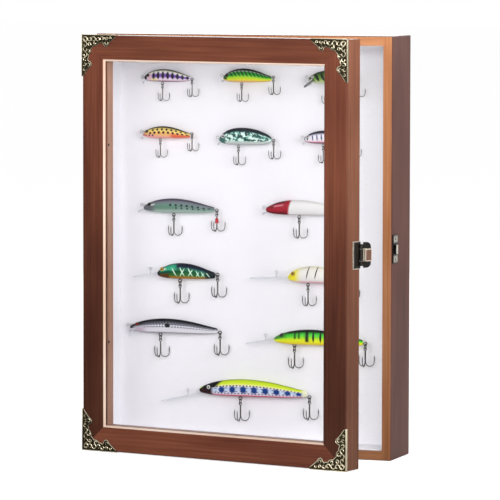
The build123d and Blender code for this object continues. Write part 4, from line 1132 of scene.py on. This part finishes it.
def lure_paint(name, stretch, skin, layers):
    """A belly-to-back blend, stencilled layers in order, moulded scales, and gloss lacquer."""
    material, tree, shader = new_material(name)
    along = node(tree, "SeparateXYZ", {"Vector": node(tree, "UVMap", uv_map="paint")})
    u, v = along.outputs["X"], along.outputs["Y"]
    colour = node(tree, "ValToRGB", {"Fac": v})
    set_ramp(colour, skin)
    for hex_colour, stencil in layers:
        mask = stencil(tree, u, v, stretch)
        painted = {"Factor": mask, "A": colour, "B": linear(hex_colour)}
        colour = node(tree, "Mix", painted, data_type="RGBA")
    where = node(tree, "TexCoord").outputs["Object"]
    scales = node(
        tree, "TexVoronoi", {"Vector": where, "Scale": 1 / (SCALE_MM * MM)}, distance="CHEBYCHEV"
    )
    bump = node(tree, "Bump", {"Strength": 0.15, "Distance": 0.0002, "Height": scales})
    fill(tree, shader, {
        "Base Color": colour,
        "Normal": bump,
        "Roughness": 0.28,
        "Specular IOR Level": 0.08,
        "Coat Weight": 0.35,
        "Coat Roughness": 0.06,
        "Coat IOR": 1.25,
    })
    return material


print("moulded scales", SCALE_MM, "mm wide")

# %% [markdown]
# ## The thirteen finishes
# These are common finishes for crankbaits: parr marks, tiger stripes, spotted trout, sardine, red head,
# perch bars. Each one is a hull, a ramp from belly, at 0, to back, at 1, and the stencils in the order
# in which they are sprayed; a few stops and stencils are painted highlights and painted shade, marked
# where they stand. Areas run from nose, at 0, to tail, at 1.

# %% Finishes
FINISHES = {
    "lure_01_violet_parr": (MINNOW, [
        (0.0, "#5E1F3C"), (0.07, "#8E4467"), (0.12, "#F0DCE8"), (0.34, "#EAD8EE"), (0.66, "#EEE4F0"),
        (0.76, "#F3F0EC"), (0.86, "#DADBC0"), (0.93, "#12120D"),
    ], [
        ("#EBDDA0", patch(0.14, 0.30, 0.10, 0.34, 0.08)),
        ("#7B4FB4", patch(0.18, 0.99, 0.36, 0.66, 0.08)),
        ("#150A28", marks(8, 0.17, 1.0, 0.52, 0.29, 0.30)),
        ("#E2B7C6", patch(0.09, 0.17, 0.15, 0.75, 0.06)),
        ("#16120E", patch(-0.1, 0.07, 0.15, 1.1)),
    ]),
    "lure_02_green_tiger": (MINNOW, [
        (0.0, "#E9A06A"), (0.10, "#F0C070"), (0.20, "#EDE936"), (0.40, "#A2E22A"), (0.56, "#34B42C"),
        # the pale grey stop just under the black back is a painted highlight
        (0.76, "#128A26"), (0.82, "#A4B0A4"), (0.87, "#050705"),
    ], [
        ("#0A3410", marks(11, 0.14, 1.0, 0.66, 0.22, 0.22, 0.18)),
        ("#2F5A28", patch(-0.1, 0.09, 0.2, 1.0)),
    ]),
    "lure_03_green_head": (MINNOW, [
        (0.0, "#DADCD2"), (0.2, "#B9C98A"), (0.45, "#6FA03A"), (0.75, "#3C6A22"), (0.92, "#0C120C"),
    ], [
        ("#0E140C", marks(8, 0.02, 0.98, 0.55, 0.28, 0.32, 0.12)),
        ("#E4E6DC", patch(-0.1, 0.10, 0.0, 0.55)),
        ("#101410", marks(3, -0.03, 0.13, 0.45, 0.22, 0.3, 0.2)),
    ]),
    "lure_04_gold_trout": (MINNOW, [
        (0.0, "#D8705E"), (0.10, "#EBA6A4"), (0.20, "#E9B08A"), (0.42, "#EBB25C"), (0.64, "#F0D276"),
        (0.82, "#DCC470"), (0.90, "#17130D"),
    ], [
        ("#DC6440", patch(0.60, 1.1, 0.08, 0.42, 0.14)),
        ("#E8A09C", patch(0.02, 0.26, 0.05, 0.40, 0.12)),
        ("#3E1A10", marks(9, 0.12, 0.99, 0.50, 0.28, 0.11)),
        ("#3A2A12", marks(8, 0.18, 0.96, 0.74, 0.24, 0.09)),
        ("#3A2212", marks(3, 0.04, 0.26, 0.28, 0.24, 0.08)),
        ("#D98A76", patch(-0.1, 0.07, 0.1, 0.7)),
    ]),
    "lure_05_teal_camo": (ROUND, [
        (0.0, "#A9AFAD"), (0.14, "#C9D0CC"), (0.26, "#9FC0B4"), (0.36, "#3F7F74"), (0.60, "#1F5A52"),
        (0.74, "#22303C"), (0.86, "#1A2230"), (0.95, "#0C1016"),
    ], [
        ("#74B8A6", blotches(3.0, 0.50, 0.24, 0.78)),
        ("#DDF5EC", blotches(4.2, 0.50, 0.22, 0.74)),
        ("#12443E", blotches(5.0, 0.58, 0.24, 0.78)),
        ("#3F6F68", patch(-0.1, 0.13, 0.0, 0.80)),
    ]),
    "lure_06_purple_bar": (MINNOW, [
        (0.0, "#5E1428"), (0.09, "#8E2A44"), (0.15, "#EFC6D4"), (0.34, "#F1EEF4"), (0.66, "#EDEAF2"),
        (0.76, "#A9A8C0"), (0.84, "#1A1A24"),
    ], [
        ("#565A80", marks(9, 0.15, 1.0, 0.50, 0.17, 0.24, 0.02)),
        ("#16121C", marks(2, -0.02, 0.12, 0.52, 0.26, 0.20)),
    ]),
    "lure_07_grey_sardine": (MINNOW, [
        (0.0, "#93B5A2"), (0.12, "#A6BBB0"), (0.30, "#829C92"), (0.48, "#667F77"), (0.68, "#667A78"),
        (0.82, "#6E707C"), (0.90, "#403A48"),
    ], [
        ("#5E8874", patch(0.17, 0.50, 0.30, 0.62, 0.14)),
        ("#14242A", marks(8, 0.36, 0.97, 0.56, 0.22, 0.085)),
        ("#26403F", marks(6, 0.44, 0.90, 0.36, 0.18, 0.07)),
        ("#666A6E", patch(-0.1, 0.16, 0.10, 1.1, 0.10)),
        ("#D5DDD8", patch(0.10, 0.17, 0.62, 0.74, 0.04)),
    ]),
    "lure_08_red_head": (MINNOW, [
        (0.0, "#CDBFBF"), (0.12, "#E6E4E3"), (0.80, "#EDEBEA"), (1.0, "#D0CDCA"),
    ], [
        ("#A3182B", patch(-0.1, 0.30, -0.1, 1.1, 0.03, -0.04)),
        # the dark maroon under the head is painted shade, and the pink patch on top of the head is a
        # painted highlight
        ("#6B0C1A", patch(-0.1, 0.28, -0.1, 0.22, 0.06)),
        ("#5A2230", patch(-0.1, 0.27, 0.86, 1.1)),
        ("#D98A94", patch(0.10, 0.24, 0.66, 0.76, 0.05)),
    ]),
    "lure_09_green_perch": (MINNOW, [
        (0.0, "#B07A28"), (0.12, "#A8762A"), (0.24, "#33702E"), (0.48, "#0C4E30"), (0.66, "#16704E"),
        (0.76, "#1A2A44"), (0.88, "#0D1122"),
    ], [
        ("#35A880", patch(0.06, 0.34, 0.56, 0.92, 0.08)),
        ("#0E1A20", patch(0.84, 1.1, -0.1, 1.1, 0.10)),
        ("#CFF2D6", marks(3, 0.24, 0.66, 0.46, 0.075, 0.27, 0.14)),
        ("#CFF2D6", marks(2, 0.38, 0.66, 0.42, 0.07, 0.24, -0.16)),
        ("#B4DCC4", marks(3, 0.67, 0.93, 0.42, 0.14, 0.22, 0.12)),
        ("#B4DCC4", marks(2, 0.67, 0.84, 0.38, 0.12, 0.18, -0.12)),
        ("#5E3A16", patch(-0.1, 0.22, -0.1, 0.40, 0.05)),
        ("#0E4A34", patch(0.02, 0.24, 0.38, 0.58, 0.06)),
        # the pale patch on top of the head is a painted highlight
        ("#E4EFE6", patch(0.08, 0.16, 0.68, 0.80, 0.05)),
        ("#16121A", patch(-0.1, 0.05, -0.1, 1.1)),
    ]),
    "lure_10_yellow_face": (MINNOW, [
        (0.0, "#E58A98"), (0.08, "#F2C8CC"), (0.20, "#F1EEEA"), (0.80, "#F0EDE4"), (1.0, "#DAD6B4"),
    ], [
        ("#F7EC38", patch(-0.1, 0.18, 0.10, 1.1, 0.14)),
        ("#3E3C3A", marks(2, 0.275, 0.555, 0.64, 0.075, 0.36, -0.06)),
    ]),
    "lure_11_silver_minnow": (MINNOW, [
        (0.0, "#6E6A74"), (0.07, "#A9A6AE"), (0.13, "#E9E7EC"), (0.36, "#DCDAE2"), (0.52, "#B4B4BE"),
        (0.64, "#8E8F9A"), (0.78, "#5A5B66"), (0.85, "#0B0B10"),
    ], [
        ("#24252C", marks(24, 0.16, 0.97, 0.75, 0.30, 0.05)),
        ("#3A3B45", marks(23, 0.17, 0.96, 0.64, 0.30, 0.05)),
        ("#EDEDF2", marks(26, 0.18, 0.95, 0.56, 0.24, 0.040)),
        ("#60616C", marks(23, 0.17, 0.96, 0.46, 0.28, 0.04)),
        ("#08080A", marks(1, 0.395, 0.495, 0.56, 0.30, 0.14)),
        ("#C3B2C2", patch(0.07, 0.18, 0.06, 0.46, 0.10)),
        ("#1A1A20", patch(-0.1, 0.16, 0.66, 1.1, 0.06)),
        ("#2A2A2E", patch(-0.1, 0.05, 0.4, 1.1)),
    ]),
    "lure_12_lime_tiger": (MINNOW, [
        (0.0, "#EFB850"), (0.08, "#F3DC38"), (0.24, "#F4F026"), (0.42, "#C6EC2A"), (0.58, "#5AD628"),
        (0.76, "#2FB82A"), (0.84, "#1A5A1E"), (0.89, "#070A07"),
    ], [
        ("#0C140A", patch(0.240, 0.262, 0.42, 0.86, 0.03)),
        ("#0C140A", patch(0.288, 0.308, 0.42, 0.86, 0.03)),
        ("#0C140A", patch(0.368, 0.408, 0.22, 0.95, 0.03)),
        ("#0C140A", marks(7, 0.42, 0.98, 0.56, 0.15, 0.34)),
        ("#3E8A2A", patch(-0.1, 0.14, 0.55, 0.95, 0.08)),
    ]),
    "lure_13_blue_parr": (MINNOW, [
        (0.0, "#8E1F36"), (0.08, "#E0607E"), (0.14, "#E9D6E4"), (0.30, "#DCE4F2"), (0.52, "#B4CCEC"),
        (0.62, "#E8E4DC"), (0.68, "#F0E9A0"), (0.76, "#D9EE3C"), (0.90, "#C4E022"), (0.98, "#93A81C"),
    ], [
        ("#2C3450", marks(27, 0.13, 0.97, 0.64, 0.30, 0.040)),
        ("#4C6498", marks(26, 0.14, 0.96, 0.20, 0.28, 0.040)),
        ("#5C7098", marks(17, 0.14, 0.96, 0.53, 0.30, 0.030)),
        ("#5C7098", marks(17, 0.14, 0.96, 0.31, 0.30, 0.030)),
        ("#153C86", marks(8, 0.17, 0.98, 0.42, 0.27, 0.20)),
        ("#2A0C14", patch(-0.1, 0.13, 0.0, 0.70)),
        ("#080707", patch(-0.1, 0.077, 0.60, 1.1, 0.05, -0.143)),
        ("#E6E9C8", patch(0.96, 1.1, -0.1, 1.1)),
    ]),
}

print("finishes:", len(FINISHES))

# %% Painted lures
for name, (profile, skin, layers) in FINISHES.items():
    low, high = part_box(name)
    stretch = (high[0] - low[0]) / (high[2] - low[2])
    paint = lure_paint("lacquer_" + name, stretch, skin, layers)
    hull = body_shape(name, profile)
    lure = finish_piece(hull, name + "_painted", "case", paint, [name])
    rounder = lure.modifiers.new("rounder", "SUBSURF")
    rounder.levels = rounder.render_levels = 2
    print(name, round((high[0] - low[0]) / MM), "mm long")

# %% [markdown]
# ## Eyes
# The eyes are small printed domes: a black pupil, a coloured ring, and a dark rim, under a clear
# lens. Each one is a disc, inset twice to draw pupil and ring as faces of their own material,
# and pushed out towards its middle to make the dome.

# %% Eyes


def glossy(name, colour, roughness=0.08):
    """Hard lacquered plastic of one colour, with a breath of unevenness in its gloss."""
    material, tree, shader = new_material(name)
    where = node(tree, "TexCoord").outputs["Object"]
    cloud = node(tree, "TexNoise", {"Vector": where, "Scale": 1 / (2.0 * MM), "Detail": 1.0})
    gloss = node(
        tree, "MapRange", {"Value": cloud, "To Min": roughness, "To Max": roughness + 0.06}
    )
    fill(tree, shader, {
        "Roughness": gloss,
        "Base Color": linear(colour),
        "Specular IOR Level": 0.15,
        "Coat Weight": 0.5,
        "Coat Roughness": 0.03,
        "Coat IOR": 1.3,
    })
    return material


pupil = glossy("eye_pupil", "#0B0B0B")
rim = glossy("eye_rim", "#191714")
RING_COLOURS = {
    "gold": glossy("eye_ring_gold", "#E2AE38"),
    "white": glossy("eye_ring_white", "#E9EBE6"),
    "red": glossy("eye_ring_red", "#B0322A"),
    "dark": glossy("eye_ring_dark", "#3A3430"),
}
EYE_RINGS = [     # from lure 1 to lure 13
    "dark", "dark", "white", "dark", "white", "white", "dark",
    "red", "gold", "gold", "red", "dark", "white",
]
PUPIL_PAINT, RING_PAINT, RIM_PAINT = 0, 1, 2
EYE_DOME = 0.35 * MM
# each step inwards: its width as a share of the radius, its rise as a share of the dome, its paint
EYE_STEPS = [
    (0.14, 0.30, RIM_PAINT), (0.16, 0.25, RING_PAINT),
    (0.18, 0.22, RING_PAINT), (0.20, 0.18, PUPIL_PAINT),
]
eye_boxes = islands("lure_eyes")
lure_boxes = [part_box(name) for name in FINISHES]
lure_plane = (lure_boxes[0][0].y + lure_boxes[0][1].y) / 2


def eye_dome(box):
    """A dome over one CAD eye, facing away from the lure's middle plane."""
    low, high = box
    centre = (low + high) / 2
    radius = (high.x - low.x) / 2
    side = 1 if centre.y > lure_plane else -1
    base_y = low.y if side > 0 else high.y
    mesh = bmesh.new()
    bmesh.ops.create_circle(mesh, segments=18, radius=radius, cap_ends=True)
    wall = bmesh.ops.extrude_face_region(mesh, geom=mesh.faces[:])
    top = next(item for item in wall["geom"] if isinstance(item, bmesh.types.BMFace))
    bmesh.ops.translate(mesh, vec=(0, 0, high.y - low.y - EYE_DOME), verts=top.verts)
    for face in mesh.faces:
        face.material_index = RIM_PAINT
    for inset, rise, paint in EYE_STEPS:
        made = bmesh.ops.inset_region(mesh, faces=[top], thickness=inset * radius, use_even_offset=True)
        for face in made["faces"]:
            face.material_index = paint
        bmesh.ops.translate(mesh, vec=(0, 0, rise * EYE_DOME), verts=top.verts)
    top.material_index = PUPIL_PAINT
    turn = Matrix.Rotation(-side * pi / 2, 4, "X")
    place = Matrix.Translation((centre.x, base_y, centre.z))
    bmesh.ops.transform(mesh, matrix=place @ turn, verts=mesh.verts)
    return mesh


def nearest_lure(centre):
    """Index of the lure whose nose is nearest to an eye."""

    def distance(index):
        low, high = lure_boxes[index]
        return abs(low.x - centre.x) + 3 * abs((low.z + high.z) / 2 - centre.z)

    return min(range(len(lure_boxes)), key=distance)


all_eyes = {}
for box in eye_boxes:
    ring_name = EYE_RINGS[nearest_lure((box[0] + box[1]) / 2)]
    all_eyes.setdefault(ring_name, []).append(eye_dome(box))
for ring_name, meshes in all_eyes.items():
    joined = bmesh.new()
    for mesh in meshes:
        shape = bpy.data.meshes.new("eye")
        mesh.to_mesh(shape)
        mesh.free()
        joined.from_mesh(shape)
        bpy.data.meshes.remove(shape)
    paints = [pupil, RING_COLOURS[ring_name], rim]
    finish_piece(joined, "eyes_" + ring_name, "case", paints, ["lure_eyes"], 35)
print("eyes:", len(eye_boxes))

# %% [markdown]
# ## Diving lips and the dressing
# The lips are clear polycarbonate blades. Clear plastic is modelled like the glass, with a
# faintly frosted surface, so its edges show as grey lines against the board. The third lure's lip
# is smoked dark. The dressing on one tail hook is a moulded red plastic bead.

# %% Clear lips and red bead
LIP_IOR = 1.45
smoked_at = Vector(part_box("lure_03_green_head")[0])
clear_lip = see_through(
    "clear_polycarbonate", "#F4F6F8", "#E6E9EB", LIP_IOR, (0.02, 0.10), 3.0, smoked_at
)
dress(clear_lip, "long_lips", "short_lips")
dress(glossy("red_bead_plastic", "#B01622", 0.18), "hook_dressing")
print("lips:", len(islands("long_lips")), "long,", len(islands("short_lips")), "short")

# %% [markdown]
# ## Hooks, rings and wire eyes
# Every hook is three hooks brazed on one shank. One prong is modelled: a round section, extruded
# down the shank, spun through half a turn for the bend, extruded up to the point and drawn in to
# a tip. Three prongs and an eye make a treble, and each CAD hook's box tells how large the treble
# is and where it hangs.

# %% Wire shapes
WIRE_MM = 0.34          # half the wire's thickness at size 1
WIRE_SIDES = 7
HOOK_TALL = 15.5        # height of a hook of size 1, from the top of its eye to the foot of its bend
EYE_TOP = 1.5           # from the middle of its eye to the top
EYE_R = 1.1             # radius of its eye
BEND_R, SHANK_FOOT = 3.4, 10.2
POINT_UP, POINT_TIP = 3.2, 2.2     # rise of the straight part of the point, and of its taper


def wire_ring(mesh, centre, radius, wire, axis):
    """A closed round ring: a round section spun through a whole turn."""
    section = bmesh.ops.create_circle(mesh, segments=WIRE_SIDES, radius=wire)["verts"]
    edges = list({edge for vertex in section for edge in vertex.link_edges})
    upright = Matrix.Translation((radius, 0, 0)) @ Matrix.Rotation(pi / 2, 4, "X")
    bmesh.ops.transform(mesh, matrix=upright, verts=section)
    before = set(mesh.verts)
    bmesh.ops.spin(
        mesh,
        geom=edges,
        cent=(0, 0, 0),
        axis=(0, 0, 1),
        angle=2 * pi,
        steps=18,
        use_merge=True,
        use_duplicate=False,
    )
    mine = list(set(section) | (set(mesh.verts) - before))
    mine = [vertex for vertex in mine if vertex.is_valid]
    turn = Vector((0, 0, 1)).rotation_difference(Vector(axis)).to_matrix().to_4x4()
    bmesh.ops.transform(mesh, matrix=Matrix.Translation(centre) @ turn, verts=mine)


def wire_bar(mesh, start, end, wire):
    """A straight round bar between two points."""
    start, end = Vector(start), Vector(end)
    length = (end - start).length
    bar = bmesh.ops.create_cone(
        mesh, cap_ends=True, segments=WIRE_SIDES, radius1=wire, radius2=wire, depth=length
    )["verts"]
    turn = Vector((0, 0, 1)).rotation_difference(end - start).to_matrix().to_4x4()
    bmesh.ops.transform(mesh, matrix=Matrix.Translation((start + end) / 2) @ turn, verts=bar)


def pull(mesh, edges, move, taper):
    """Extrudes an open ring by a move and scales its new end; gives the new ring's edges."""
    grown = bmesh.ops.extrude_edge_only(mesh, edges=edges)["geom"]
    verts = [item for item in grown if isinstance(item, bmesh.types.BMVert)]
    bmesh.ops.translate(mesh, vec=move, verts=verts)
    middle = sum((vertex.co for vertex in verts), Vector()) / len(verts)
    bmesh.ops.scale(mesh, vec=taper, space=Matrix.Translation(-middle), verts=verts)
    return [item for item in grown if isinstance(item, bmesh.types.BMEdge)]


def prong(mesh, angle):
    """One hook of a treble at size 1, in millimetres, its eye's centre at the origin."""
    before = set(mesh.verts)
    section = bmesh.ops.create_circle(mesh, segments=WIRE_SIDES, radius=WIRE_MM)["verts"]
    edges = list({edge for vertex in section for edge in vertex.link_edges})
    bmesh.ops.translate(mesh, vec=(WIRE_MM, 0, -EYE_R), verts=section)
    edges = pull(mesh, edges, (0, 0, EYE_R - SHANK_FOOT), (1, 1, 1))
    spun = bmesh.ops.spin(
        mesh,
        geom=edges,
        cent=(WIRE_MM + BEND_R, 0, -SHANK_FOOT),
        axis=(0, 1, 0),
        angle=-pi,
        steps=9,
        use_duplicate=False,
    )["geom_last"]
    edges = [item for item in spun if isinstance(item, bmesh.types.BMEdge)]
    edges = pull(mesh, edges, (0.15, 0, POINT_UP), (1.35, 1.1, 1.0))
    pull(mesh, edges, (-0.25, 0, POINT_TIP), (0.08, 0.08, 1.0))
    open_edges = [edge for edge in mesh.edges if len(edge.link_faces) == 1]
    bmesh.ops.holes_fill(mesh, edges=open_edges, sides=0)
    mine = [vertex for vertex in mesh.verts if vertex not in before]
    turn = Matrix.Rotation(radians(angle), 3, "Z")
    bmesh.ops.rotate(mesh, verts=mine, cent=(0, 0, 0), matrix=turn)


def treble_mesh():
    """A whole treble at size 1: three prongs round one eye."""
    mesh = bmesh.new()
    for angle in (-90, 30, 150):
        prong(mesh, angle)
    wire_ring(mesh, (0, 0, 0), EYE_R, WIRE_MM, (0, 1, 0))
    data = bpy.data.meshes.new("treble")
    mesh.to_mesh(data)
    mesh.free()
    return data


treble = treble_mesh()
print("points in one treble:", len(treble.vertices))

# %% [markdown]
# ### Hanging the hooks
# Each treble is a copy of that one mesh, scaled to its CAD hook's height and hung so that their
# eyes meet. One prong of each points away from the board and the other two lean back towards it.

# %% Treble hooks


def hang(name, new_name):
    """Puts a scaled treble in the place of each hook of a CAD node."""
    mesh = bmesh.new()
    for low, high in islands(name):
        size = (high.z - low.z) / HOOK_TALL
        eye = ((low.x + high.x) / 2, lure_plane, high.z - EYE_TOP * size)
        known = set(mesh.verts)
        mesh.from_mesh(treble)
        fresh = [vertex for vertex in mesh.verts if vertex not in known]
        place = Matrix.Translation(eye) @ Matrix.Scale(size, 4)
        bmesh.ops.transform(mesh, matrix=place, verts=fresh)
    return finish_piece(mesh, new_name, "case", black_nickel, [name], 50)


for name, new_name in (("belly_hooks", "treble_hooks_belly"), ("tail_hooks", "treble_hooks_tail")):
    print(hang(name, new_name).name, "hangs", len(islands(name)), "hooks")

# %% [markdown]
# ### Rings and wire eyes
# A split ring is two turns of wire side by side. A wire eye is a ring with a short stem that runs
# into the lure, straight down or up where the CAD piece is taller than long, and otherwise along
# the body. Line ties stand in front of or above the nose, so their stems run the other way.

# %% Split rings and eyes
mesh = bmesh.new()
for low, high in islands("split_rings"):
    centre, outer = (low + high) / 2, (high.z - low.z) / 2
    wire = (high.x - low.x) / 2
    for shift in (-0.45, 0.45):
        turn_at = centre + Vector((shift * wire, 0, 0))
        wire_ring(mesh, turn_at, outer - wire, 0.55 * wire, (1, 0, 0))
finish_piece(mesh, "split_ring_coils", "case", black_nickel, ["split_rings"], 50)

for name, new_name, steel in (
    ("hook_hangers", "belly_and_tail_eyes", black_nickel), ("line_ties", "nose_eyes", zinc)
):
    is_tie = name == "line_ties"
    mesh = bmesh.new()
    for low, high in islands(name):
        wire = (high.y - low.y) / 2
        centre = (low + high) / 2
        eye, far = centre.copy(), centre.copy()
        if high.z - low.z > high.x - low.x:
            outer = (high.x - low.x) / 2
            eye.z, far.z = (high.z - outer, low.z) if is_tie else (low.z + outer, high.z)
        else:
            outer = (high.z - low.z) / 2
            eye.x, far.x = (low.x + outer, high.x) if is_tie else (high.x - outer, low.x)
        wire_ring(mesh, eye, outer - wire, wire, (0, 1, 0))
        stem_start = eye + (far - eye).normalized() * (outer - wire)
        wire_bar(mesh, stem_start, far, wire)
    finish_piece(mesh, new_name, "case", steel, [name], 50)
print("wire eyes:", len(islands("hook_hangers")) + len(islands("line_ties")))

# %% [markdown]
# ## Size against the imported model
# The dressed case must stay inside the box of the imported model, so how far it grew past that box is
# printed.

# %% Sizes
low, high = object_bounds()
grown_low = [round(max(a - b, 0) / MM, 2) for a, b in zip(cad_low, low)]
grown_high = [round(max(b - a, 0) / MM, 2) for a, b in zip(cad_high, high)]
print("box grew by", grown_low, grown_high, "mm")
